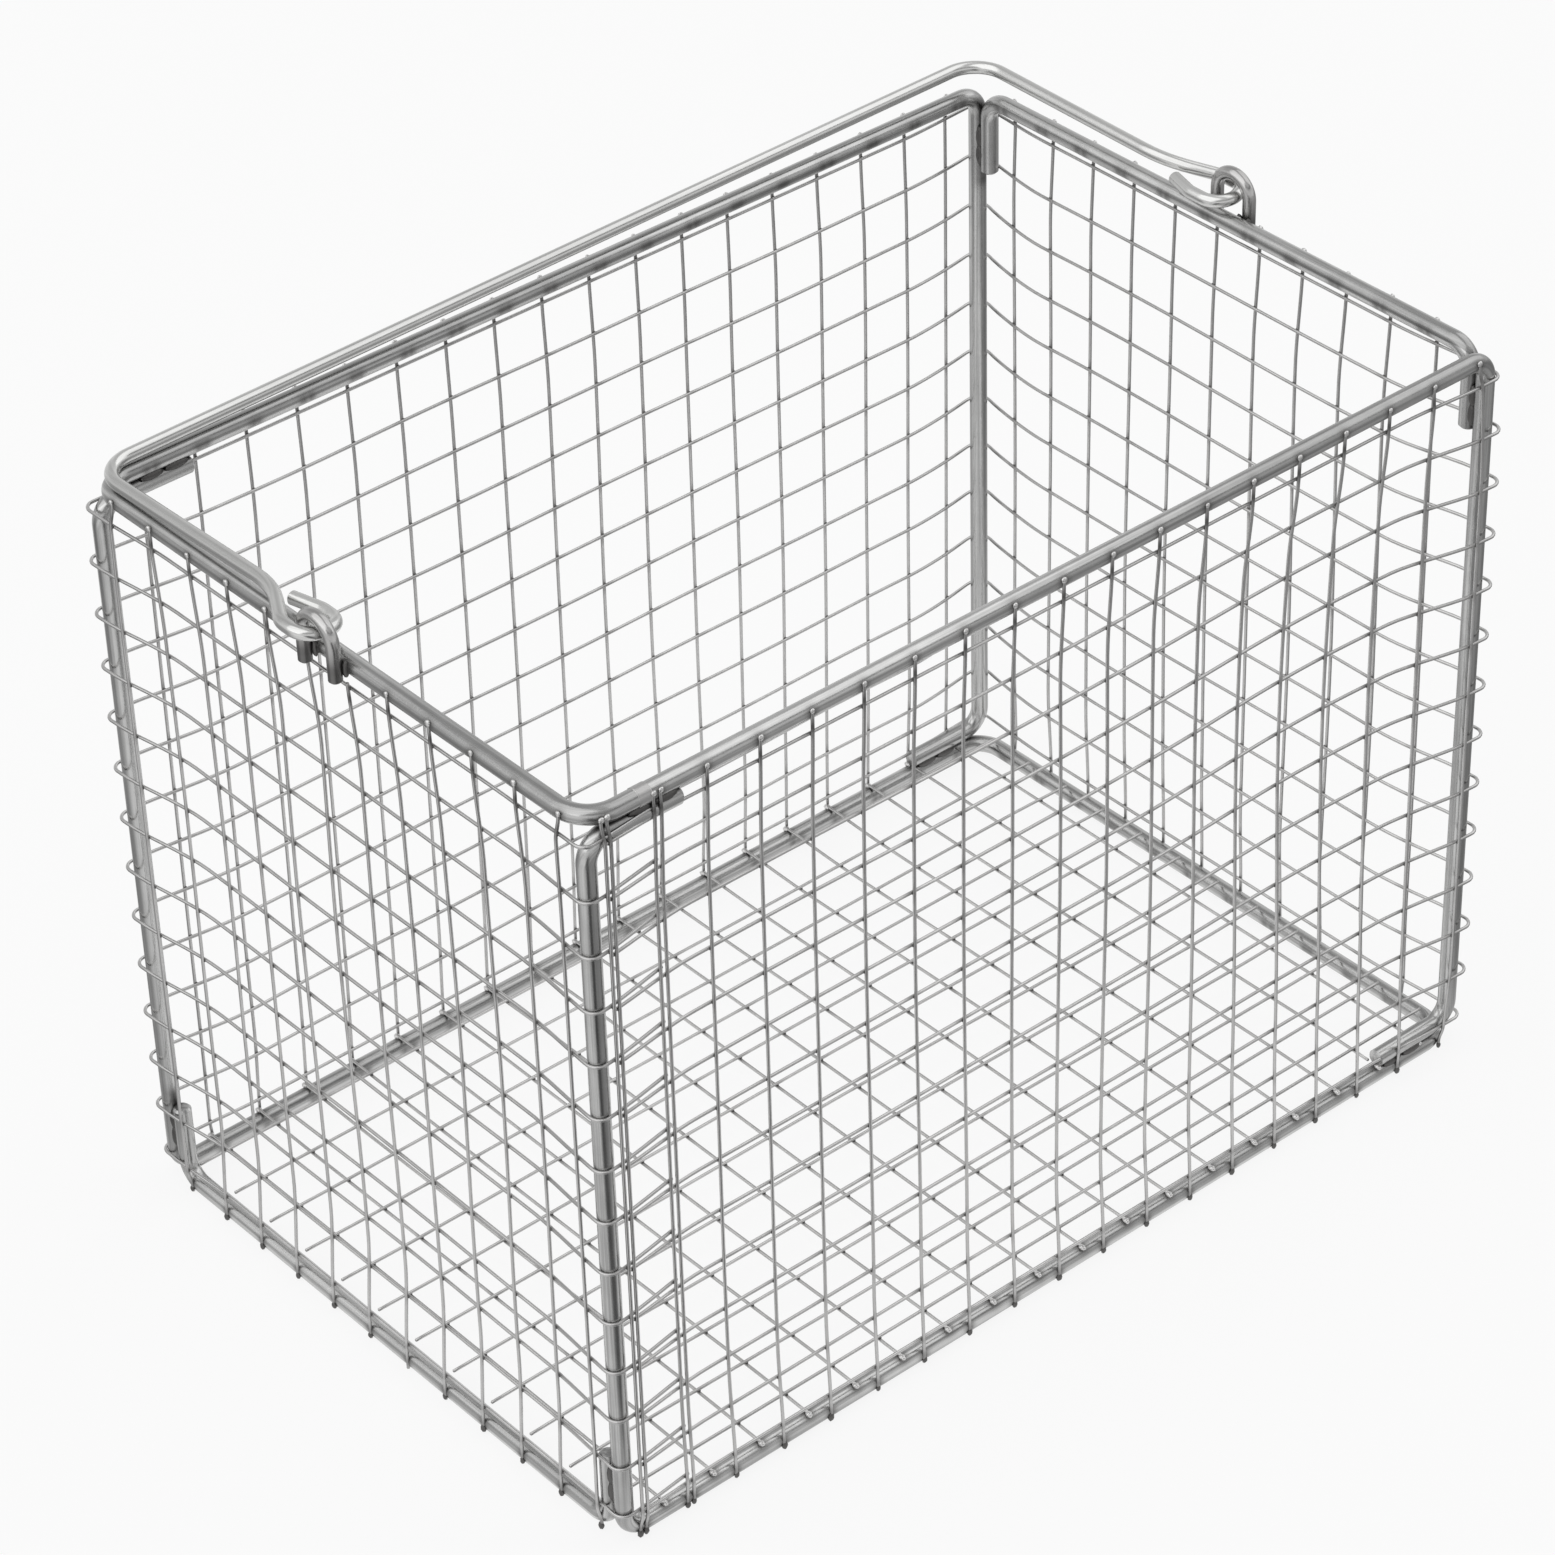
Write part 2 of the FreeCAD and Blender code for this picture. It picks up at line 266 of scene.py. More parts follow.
@dataclass(frozen=True)
class Route:
    """Where a wire runs: straight runs joined by tangent arcs.

    Args:
        corners: Points that the straight runs aim at.
        bends: Radius of the arc at each inner point.
        step: Longest distance between two sections on a run.
        turn_step: Largest turn between two sections in a bend, in degrees.
    """

    corners: Array
    bends: Sequence[float]
    step: float
    turn_step: float = 6.0

    def run(self, start: Array, end: Array) -> Array:
        """Args: start, end: ends of a run. Returns: its sections, without the last."""
        count = max(1, math.ceil(float(np.linalg.norm(end - start)) / self.step))
        share = np.arange(count) / count
        return start + share[:, None] * (end - start)

    def arc(self, before: Array, corner: Array, after: Array, radius: float) -> tuple[Array, Array]:
        """Rounds one corner.

        A point of the arc is the centre plus a mix of the directions to both ends,
        with shares sin((1 - t) A) and sin(t A) over sin A, where A is the turn.

        Args:
            before, corner, after: Three points of the route in a row.
            radius: Radius of the arc at the middle one.

        Returns:
            The arc's sections without the last, and its last point.
        """
        back = unit(before - corner)
        on = unit(after - corner)
        half = math.acos(float(np.clip(back @ on, -1, 1))) / 2
        centre = corner + unit(back + on) * radius / math.sin(half)
        start = corner + back * radius / math.tan(half)
        end = corner + on * radius / math.tan(half)
        turn = math.pi - 2 * half
        count = max(2, math.ceil(turn / math.radians(self.turn_step)))
        share = np.arange(count)[:, None] / count
        from_start = np.sin((1 - share) * turn) / math.sin(turn)
        from_end = np.sin(share * turn) / math.sin(turn)
        return centre + from_start * (start - centre) + from_end * (end - centre), end

    def sections(self) -> Array:
        """Returns: the centre of every section along the route."""
        corners = np.array(self.corners, dtype=float)
        here = corners[0]
        parts: list[Array] = []
        for index, radius in enumerate(self.bends, start=1):
            arc, end = self.arc(*corners[index - 1 : index + 2], radius)
            if np.linalg.norm(arc[0] - here) > 1e-4:
                parts.append(self.run(here, arc[0]))
            parts.append(arc)
            here = end
        if np.linalg.norm(corners[-1] - here) > 1e-4:
            parts.append(self.run(here, corners[-1]))
        return np.vstack([*parts, corners[-1:]])


def capped_rings(rows: int, sides: int) -> tuple[Array, Array]:
    """Faces of rings of points, closed at each end by a fan round one more point.

    Args:
        rows: Number of rings. Their points come first, then the two end points.
        sides: Points in a ring.

    Returns:
        The quads between the rings, and the triangles of both fans.
    """
    row = np.arange(rows - 1)[:, None] * sides
    near = np.arange(sides)[None, :]
    far = (near + 1) % sides
    quads = np.stack([row + near, row + far, row + sides + far, row + sides + near], axis=2)
    first = rows * sides
    last_row = first - sides
    start_fan = np.stack([np.full(sides, first), far[0], near[0]], axis=1)
    end_fan = np.stack([np.full(sides, first + 1), last_row + near[0], last_row + far[0]], axis=1)
    return quads.reshape(-1, 4), np.vstack([start_fan, end_fan])


def swept_wire(path: Array, radius: float, sides: int, end_break: float = 0.0) -> Surface:
    """Round wire along a path, with broken edges and flat ends.

    Each section is a ring: centre + r (cos a * n + sin a * m), where n and m are
    square to the path. Near an end r shrinks by as much as the break has left to run.

    Args:
        path: Section centres.
        radius: Radius of the wire.
        sides: Points in a ring.
        end_break: Size of the broken edge at each end.

    Returns:
        The closed surface.
    """
    along = np.concatenate([[0.0], np.cumsum(np.linalg.norm(np.diff(path, axis=0), axis=1))])
    length = along[-1]
    if end_break > 0:
        wanted = np.unique(np.concatenate([along, [end_break, length - end_break]]))
        path = np.stack([np.interp(wanted, along, path[:, axis]) for axis in range(3)], axis=1)
        along = wanted
    pieces = unit(np.diff(path, axis=0))
    ahead = unit(np.vstack([pieces[:1], pieces[:-1] + pieces[1:], pieces[-1:]]))
    side = unit(np.cross(ahead, SWEEP_REFERENCE))
    up = np.cross(ahead, side)
    angle = np.arange(sides) * 2 * math.pi / sides
    reach = radius - np.maximum(0.0, end_break - np.minimum(along, length - along))
    ring = np.cos(angle)[:, None] * side[:, None, :] + np.sin(angle)[:, None] * up[:, None, :]
    points = (path[:, None, :] + reach[:, None, None] * ring).reshape(-1, 3)
    place = np.broadcast_arrays(radius * np.cos(angle), radius * np.sin(angle), along[:, None])
    quads, tris = capped_rings(len(path), sides)
    return Surface(
        points=np.vstack([points, path[:1], path[-1:]]),
        quads=quads,
        tris=tris,
        place=np.vstack([np.stack(place, axis=2).reshape(-1, 3), [[0, 0, 0]], [[0, 0, length]]]),
    )


@dataclass(frozen=True)
class Lump:
    """A lump of weld metal: a ball stretched along three axes, with an uneven surface.

    Each point is moved in or out along its own ray by a small share. The poles are
    single points.

    Args:
        half_sizes: Half size along, outward and across both.
        sides: Points in a ring.
        rings: Rings between the poles.
        rough: Largest share that a point is moved by.
        heat: How much the metal is darkened, 0 to 1.
    """

    half_sizes: Point
    sides: int = 14
    rings: int = 7
    rough: float = 0.05
    heat: float = 1.0

    def at(self, centres: Array, along: Array, out: Array, seed: int, scale: Array | float = 1.0) -> Surface:
        """Puts a lump at each centre.

        Args:
            centres: Middle of each lump.
            along: Direction of the first half size.
            out: Direction of the second half size, square to the first.
            seed: Seed of the unevenness.
            scale: Size of each lump against the half sizes.

        Returns:
            All lumps as one surface.
        """
        centres = np.array(centres)
        axes = np.stack([along, out, np.cross(along, out)]) * np.array(self.half_sizes)[:, None] * scale
        tilt = (np.arange(self.rings) + 1)[:, None] * math.pi / (self.rings + 1)
        turn = np.arange(self.sides) * 2 * math.pi / self.sides
        grid = np.broadcast_arrays(np.sin(tilt) * np.cos(turn), np.sin(tilt) * np.sin(turn), np.cos(tilt))
        ball = np.vstack([np.stack(grid, axis=2).reshape(-1, 3), Z, -Z])
        chance = np.random.default_rng(seed)
        uneven = 1 + self.rough * chance.uniform(-1, 1, (len(centres), len(ball)))
        points = (centres[:, None, :] + (ball * uneven[:, :, None]) @ axes).reshape(-1, 3)
        quads, tris = capped_rings(self.rings, self.sides)
        offset = (np.arange(len(centres)) * len(ball))[:, None, None]
        return Surface(
            points=points,
            quads=(quads[:, [0, 3, 2, 1]] + offset).reshape(-1, 4),
            tris=(tris[:, [0, 2, 1]] + offset).reshape(-1, 3),
            place=points.copy(),
            heat=self.heat,
        )


@dataclass(frozen=True)
class HeatMark:
    """Darkening round weld spots, which at the side mesh's crossings also stands for painted contact shade:
    strength * exp(-(distance / size)^2) of the nearest spot.

    Args:
        strength: Darkening at a spot, 0 to 1.
        size: Distance at which it has faded to about a third.
    """

    strength: float
    size: float

    def on(self, points: Array, spots: Array) -> Array:
        """Args: points, spots: centres of the spots. Returns: the darkening of each point."""
        best = np.full(len(points), np.inf)
        for spot in spots:
            best = np.minimum(best, ((points - spot) ** 2).sum(axis=1))
        return self.strength * np.exp(-best / self.size**2)


# Finishes


def add_node(tree: Tree, kind: str, inputs: Mapping = {}, **settings: str) -> bpy.types.Node:
    """Adds a shader node.

    Args:
        tree: The nodes to add to.
        kind: Its type, without the leading ShaderNode.
        inputs: For each input, by name or number, its value or the output that feeds it.
        settings: Its other settings.

    Returns:
        The node.
    """
    node = tree.nodes.new("ShaderNode" + kind)
    for name, setting in settings.items():
        setattr(node, name, setting)
    feed(tree, node, inputs)
    return node


def feed(tree: Tree, node: bpy.types.Node, inputs: Mapping) -> None:
    """Args: tree, node, inputs: by name or number, values or outputs. Sets the node's inputs."""
    for key, value in inputs.items():
        if isinstance(value, Socket):
            tree.links.new(value, node.inputs[key])
        else:
            node.inputs[key].default_value = value


def remapped(tree: Tree, value: Socket, ends: tuple[float, float], results: tuple[float, float]) -> Socket:
    """Args: tree, value, ends, results. Returns: results[0] to [1] as the value crosses the ends."""
    names = ("From Min", "From Max", "To Min", "To Max")
    return add_node(tree, "MapRange", {"Value": value, **dict(zip(names, ends + results))}).outputs[0]


def mixed(tree: Tree, share: Socket, first: Colour, second: Colour, way: str = "MIX") -> Socket:
    """Args: tree, share, first, second, way. Returns: the first colour, mixed with the second."""
    inputs = {0: share, 6: first, 7: second}
    return add_node(tree, "Mix", inputs, data_type="RGBA", blend_type=way).outputs[2]


def product(tree: Tree, first: Socket, second: Socket | float) -> Socket:
    """Args: tree, first, second. Returns: the product of two values."""
    return add_node(tree, "Math", {0: first, 1: second}, operation="MULTIPLY").outputs[0]


def object_noise(tree: Tree, scale: float, detail: float) -> Socket:
    """Args: tree, scale: waves per metre, detail. Returns: noise in the object's own space."""
    place = add_node(tree, "TexCoord").outputs["Object"]
    return add_node(tree, "TexNoise", {"Vector": place, "Scale": scale, "Detail": detail}).outputs[0]


@dataclass(frozen=True)
class DrawnLines:
    """Noise drawn out along the wire, read from the wire's own place attribute.

    Args:
        stretch: Waves per millimetre across the section, twice, and along it.
        noise: Noise values that give the two ends of the result.
    """

    stretch: Point
    noise: tuple[float, float]

    def value(self, tree: Tree, low: float, high: float) -> Socket:
        """Args: tree, low, high: ends of the result. Returns: the value."""
        place = add_node(tree, "Attribute", attribute_name="wire_place").outputs["Vector"]
        drawn_out = add_node(tree, "Mapping", {"Vector": place, "Scale": self.stretch}).outputs[0]
        noise = add_node(tree, "TexNoise", {"Vector": drawn_out, "Scale": 1.0, "Detail": 3.0})
        return remapped(tree, noise.outputs[0], self.noise, (low, high))


# The fine and broad lines darken the steel's colour along the wire: partly drawing lines, partly painted
# reflections of dark surroundings.
FINE_LINES_AND_REFLECTIONS = DrawnLines((2.2, 2.2, 0.03), (0.36, 0.62))
BROAD_LINES_AND_REFLECTIONS = DrawnLines((0.75, 0.75, 0.008), (0.40, 0.58))
ROUGH_LINES = DrawnLines((4.0, 4.0, 0.22), (0.3, 0.7))


@dataclass(frozen=True)
class SteelFinish:
    """Stainless steel wire with drawing lines and painted reflection bands along it, a fine grain and weld
    darkening.

    Args:
        colour: Colour of the clean steel.
        roughness: Roughness of the clean steel.
        streaks: How much the lines along the wire change the roughness.
        line_and_reflection_bands: How much darker the lines along the wire can be: drawing lines, and
            painted reflections of dark surroundings.
        patches: How much slow patches change the colour.
        patch_scale: Patches per metre.
        grain: Height of the fine grain, in millimetres.
        grain_scale: Grains per metre.
        heat_colour: Colour where welding darkened the steel, and of the painted contact shade at the side
            mesh's crossings.
        heat_strength: How far the darkening goes, 0 to 1.
        heat_roughness: How much rougher the steel is there.
    """

    colour: Point
    roughness: float
    streaks: float = 0.10
    line_and_reflection_bands: float = 0.30
    patches: float = 0.12
    patch_scale: float = 210.0
    grain: float = 0.012
    grain_scale: float = 2600.0
    heat_colour: Point = (0.06, 0.057, 0.055)
    heat_strength: float = 0.88
    heat_roughness: float = 0.22

    def material(self, name: str) -> bpy.types.Material:
        """Args: name: name of the material. Returns: the procedural material."""
        made = bpy.data.materials.new(name)
        made.use_nodes = True
        tree = made.node_tree
        weld_heat_and_contact_shade = add_node(tree, "Attribute", attribute_name="weld_heat_and_contact_shade").outputs["Fac"]
        heat = product(tree, weld_heat_and_contact_shade, self.heat_strength)
        inputs = {
            "Metallic": 1.0,
            "Base Color": mixed(tree, heat, self.clean_colour(tree), (*self.heat_colour, 1.0)),
            "Roughness": self.rough_share(tree, heat),
            "Normal": self.grain_normal(tree),
        }
        feed(tree, tree.nodes["Principled BSDF"], inputs)
        return made

    def clean_colour(self, tree: Tree) -> Socket:
        """Args: tree: the material's nodes. Returns: colour with slow patches and dark lines, partly drawing
        lines and partly painted reflections.
        """
        noise = object_noise(tree, self.patch_scale, 3.0)
        patches = remapped(tree, noise, (0.0, 1.0), (1.0 - self.patches, 1.0 + self.patches))
        # Painted reflection bands and drawing lines darken the colour along the wire.
        fine = FINE_LINES_AND_REFLECTIONS.value(tree, 1.0 - self.line_and_reflection_bands / 2, 1.0)
        broad = BROAD_LINES_AND_REFLECTIONS.value(tree, 1.0 - self.line_and_reflection_bands, 1.0)
        tint = add_node(tree, "VectorMath", {0: self.colour, "Scale": patches}, operation="SCALE")
        lines = {0: tint.outputs[0], "Scale": product(tree, fine, broad)}
        return add_node(tree, "VectorMath", lines, operation="SCALE").outputs[0]

    def rough_share(self, tree: Tree, heat: Socket) -> Socket:
        """Args: tree, heat. Returns: roughness with lines along the wire, more where it was hot."""
        low, high = self.roughness - self.streaks / 2, self.roughness + self.streaks / 2
        inputs = {0: heat, 1: self.heat_roughness, 2: ROUGH_LINES.value(tree, low, high)}
        return add_node(tree, "Math", inputs, operation="MULTIPLY_ADD").outputs[0]

    def grain_normal(self, tree: Tree) -> Socket:
        """Args: tree: the material's nodes. Returns: normal of the fine grain."""
        height = object_noise(tree, self.grain_scale, 2.0)
        inputs = {"Strength": 1.0, "Distance": self.grain * MM, "Height": height}
        return add_node(tree, "Bump", inputs).outputs[0]


FRAME_FINISH = SteelFinish((0.62, 0.62, 0.615), 0.23, line_and_reflection_bands=0.36)
EAR_FINISH = SteelFinish((0.56, 0.555, 0.55), 0.20, streaks=0.08, line_and_reflection_bands=0.20)
BAIL_FINISH = SteelFinish((0.72, 0.72, 0.71), 0.20, streaks=0.06, patches=0.06, line_and_reflection_bands=0.15, grain=0.004)
MESH_FINISH = SteelFinish((0.66, 0.655, 0.65), 0.28, line_and_reflection_bands=0.20, grain=0.005)
WELD_FINISH = SteelFinish((0.68, 0.675, 0.67), 0.30, line_and_reflection_bands=0.0, grain=0.02, grain_scale=1800.0)


# Drawn pieces


@dataclass(frozen=True)
class Look:
    """What a drawn piece is made of and where it belongs.

    Args:
        material: Its finish.
        slot: The record's material slot; not used.
        body: The body that it moves with.
        crease: Angle in degrees past which an edge stays sharp, or 0 for none.
    """

    material: bpy.types.Material
    slot: Slot
    body: Body = Body.BASKET
    crease: float = 0.0

    def draw(self, name: str, surface: Surface, *nodes: str) -> None:
        """Makes a surface into a piece that stands at the origin, unturned.

        Args:
            name: Name of the piece.
            surface: The surface, in millimetres.
            nodes: Nodes of the fixed model that it stands for.
        """
        mesh = bpy.data.meshes.new(name)
        corner_points = np.concatenate([surface.quads.ravel(), surface.tris.ravel()])
        totals = np.concatenate([np.full(len(surface.quads), 4), np.full(len(surface.tris), 3)])
        mesh.vertices.add(len(surface.points))
        mesh.vertices.foreach_set("co", (surface.points * MM).ravel())
        mesh.loops.add(len(corner_points))
        mesh.loops.foreach_set("vertex_index", corner_points)
        mesh.polygons.add(len(totals))
        mesh.polygons.foreach_set("loop_start", np.concatenate([[0], np.cumsum(totals)[:-1]]))
        mesh.update(calc_edges=True)
        mesh.polygons.foreach_set("use_smooth", np.ones(len(totals), dtype=bool))
        place = mesh.attributes.new("wire_place", "FLOAT_VECTOR", "POINT")
        place.data.foreach_set("vector", surface.place.ravel())
        heat = mesh.attributes.new("weld_heat_and_contact_shade", "FLOAT", "POINT")
        heat.data.foreach_set("value", surface.heat)
        if self.crease > 0:
            mesh.set_sharp_from_angle(angle=math.radians(self.crease))
        mesh.materials.append(self.material)
        piece = bpy.data.objects.new(name, mesh)
        bpy.context.scene.collection.objects.link(piece)
        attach(piece, self.body.value)
        if nodes:
            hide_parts(*nodes)
        LOG.info("%s: %d faces", name, len(mesh.polygons))


SHARP_END = 38.0


def wall_points(wall: Wall, outline: FrameSizes, run: Array, out: Array, height: Array) -> Array:
    """Turns wall coordinates into points.

    Args:
        wall: The wall.
        outline: Sizes of the frame.
        run: Place along the wall.
        out: Distance outward from the posts' axes.
        height: Height.

    Returns:
        One point per entry.
    """
    axis, side = wall.value
    run, out, height = np.broadcast_arrays(run, out, height)
    across = side * (outline.post(axis) + out)
    return np.stack([across, run, height] if axis == 0 else [run, across, height], axis=-1)


@dataclass(frozen=True)
class WallPlaces:
    """Where the uprights of each wall stand, along the wall.

    Args:
        on: Places on each wall.
        strip_start: Places of the two uprights at the strip's start.
    """

    on: dict[Wall, Array]
    strip_start: Array

    @classmethod
    def from_sizes(cls, outline: FrameSizes, mesh: MeshSizes) -> "WallPlaces":
        """Spreads the uprights at the mesh's pitch, centred on each wall.

        Args:
            outline: Sizes of the frame.
            mesh: Sizes of the mesh.

        Returns:
            The places. A far wall has one upright less than the near wall.
        """
        margin = outline.radius + mesh.radius
        on = {}
        for wall in Wall:
            axis, side = wall.value
            count = int((2 * outline.post(1 - axis) - 2 * margin) / mesh.pitch) + (side < 0)
            on[wall] = (np.arange(count) - (count - 1) / 2) * mesh.pitch
        start = on[Wall.NEAR_LONG][0] + mesh.lap_shift
        return cls(on, np.array([start, start + mesh.pitch]))

    def groups(self) -> dict[str, tuple[Wall, Array]]:
        """Returns: wall and places of each node of uprights."""
        rows = {wall.name.lower() + "_uprights": (wall, places) for wall, places in self.on.items()}
        return rows | {"strip_start_uprights": (Wall.NEAR_LONG, self.strip_start)}

    @property
    def floor_x(self) -> Array:
        """Returns: places of the floor's cross wires."""
        return self.on[Wall.FAR_LONG]

    @property
    def floor_y(self) -> Array:
        """Returns: places of the floor's long wires."""
        return self.on[Wall.NEAR_SHORT]


@dataclass(frozen=True)
class WallDrift:
    """How the mesh of one wall sits against its true place.

    Args:
        low_shift, high_shift: Shift of the uprights along the wall at the bottom rail and the rim.
        bow: How far the mesh is drawn in between the rails.
        rise: How much higher its horizontal wires run near the rim.
    """

    low_shift: float
    high_shift: float
    bow: float
    rise: float


WALL_DRIFTS = {
    Wall.NEAR_LONG: WallDrift(-1.3, -1.4, 0.8, 0.8),
    Wall.FAR_LONG: WallDrift(0.9, 2.2, 0.7, 0.0),
    Wall.NEAR_SHORT: WallDrift(-1.4, -1.4, 1.3, 0.0),
    Wall.FAR_SHORT: WallDrift(2.4, 2.9, 0.9, -1.0),
}
CORNER_SLACK = {(-1, 1): 1.0, (1, -1): 1.5, (1, 1): 1.3}


@dataclass(frozen=True)
class MeshWander:
    """How the welded mesh strays from true, the same for every wire at one place.

    Each wall is drawn in until its uprights lie on the rails, bows in a little more
    between them, and is shifted along itself. Sums of slow sine waves of the place
    along the wall and of the height come on top, and one wall has a shallow dent.
    All of it fades out at the posts. At three corners the wires stand off the post
    in a slack loop.

    Args:
        outline: Sizes of the frame.
        draw_in: How far every wall is drawn in.
        out_size, run_size, rise_size: Largest ripple square to a wall, along it and up.
        waves: Number of waves in a ripple.
        run_waves, rise_waves: Shortest and longest wave along a wall and up.
        post_reach, rail_reach: How far from a post and a rail the mesh is free.
        shift_reach, shift_start: The same for the shift, and how far it is kept past the post.
        dent_wall: The wall with the dent.
        dent_place: Middle of the dent, along the wall and in height.
        dent_reach: Half width and half height of the dent.
        dent_depth: Its depth.
        slack_reach: Reach of the slack loops from the posts.
    """

    outline: FrameSizes
    draw_in: float = 1.05
    out_size: float = 0.35
    run_size: float = 0.30
    rise_size: float = 0.35
    waves: int = 3
    run_waves: tuple[float, float] = (70.0, 160.0)
    rise_waves: tuple[float, float] = (90.0, 220.0)
    post_reach: float = 24.0
    rail_reach: float = 26.0
    shift_reach: float = 9.0
    shift_start: float = 2.0
    dent_wall: Wall = Wall.NEAR_LONG
    dent_place: tuple[float, float] = (68.0, 118.0)
    dent_reach: tuple[float, float] = (34.0, 62.0)
    dent_depth: float = 2.0
    slack_reach: float = 7.0

    def ripple(self, run: Array, height: Array, key: int) -> Array:
        """Sum of slow waves.

        Args:
            run: Place along the wall.
            height: Height.
            key: Which of the independent sums.

        Returns:
            A value between about -1 and 1 per point.
        """
        chance = np.random.default_rng(SEED + 17 * key)
        total = np.zeros(len(run))
        for _ in range(self.waves):
            run_rate = 2 * math.pi / chance.uniform(*self.run_waves) * chance.choice([-1, 1])
            rise_rate = 2 * math.pi / chance.uniform(*self.rise_waves)
            phase = chance.uniform(0, 2 * math.pi)
            total += np.sin(run * run_rate + height * rise_rate + phase)
        return total / self.waves

    def to_post(self, wall: Wall, run: Array) -> Array:
        """Args: wall, run. Returns: distance to the nearer post of the wall."""
        return self.outline.post(1 - wall.value[0]) - np.abs(run)

    def off_post(self, wall: Wall, run: Array) -> Array:
        """Args: wall, run. Returns: 0 at the posts, rising to 1 away from them."""
        return eased(self.to_post(wall, run), self.post_reach)

    def shift(self, wall: Wall, run: Array, height: Array | float) -> Array:
        """Args: wall, run, height. Returns: the shift along the wall that the uprights share."""
        drift, size = WALL_DRIFTS[wall], self.outline
        share = np.clip((height - size.base_z) / (size.rim_z - size.base_z), 0, 1)
        fade = eased(self.to_post(wall, run) + self.shift_start, self.shift_reach)
        return fade * (drift.low_shift + (drift.high_shift - drift.low_shift) * share)

    def drawn_in(self, wall: Wall, run: Array, height: Array, off_rail: Array) -> Array:
        """Args: wall, run, height, off_rail: 0 at a rail to 1. Returns: how far the mesh lies inward."""
        inward = self.draw_in + WALL_DRIFTS[wall].bow * off_rail
        if wall is self.dent_wall:
            away = ((run - self.dent_place[0]) / self.dent_reach[0]) ** 2
            away = away + ((height - self.dent_place[1]) / self.dent_reach[1]) ** 2
            inward = inward + self.dent_depth * off_rail * np.exp(-away)
        return inward * self.off_post(wall, run)

    def moved(self, points: Array) -> Array:
        """Args: points: on or near the walls. Returns: them, moved as the mesh strays."""
        size = self.outline
        result = points.copy()
        height = points[:, 2]
        off_rail = eased(np.minimum(height - size.base_z, size.rim_z - height), self.rail_reach)
        rise_share = eased(height - size.base_z, size.rim_z - size.base_z) * off_rail
        for key, wall in enumerate(Wall):
            axis, side = wall.value
            run = points[:, 1 - axis]
            on_wall = (points[:, axis] * side > size.post(axis) - 0.5) & (self.to_post(wall, run) > 0)
            calm = on_wall * self.off_post(wall, run)
            free = calm * off_rail
            out, along, up = (free * self.ripple(run, height, 3 * key + wave) for wave in range(3))
            inward = on_wall * self.drawn_in(wall, run, height, off_rail)
            result[:, axis] += side * (self.out_size * out - inward)
            result[:, 1 - axis] += on_wall * self.shift(wall, run, height) + self.run_size * along
            result[:, 2] += self.rise_size * up + WALL_DRIFTS[wall].rise * calm * rise_share
        for sides, stand_off in CORNER_SLACK.items():
            post = np.array(sides) * (size.post_x, size.post_y)
            gap = np.linalg.norm(points[:, :2] - post, axis=1)
            share = stand_off * off_rail * np.exp(-((gap / self.slack_reach) ** 2))
            result[:, :2] += np.array(sides) * share[:, None] * math.sqrt(0.5)
        return result


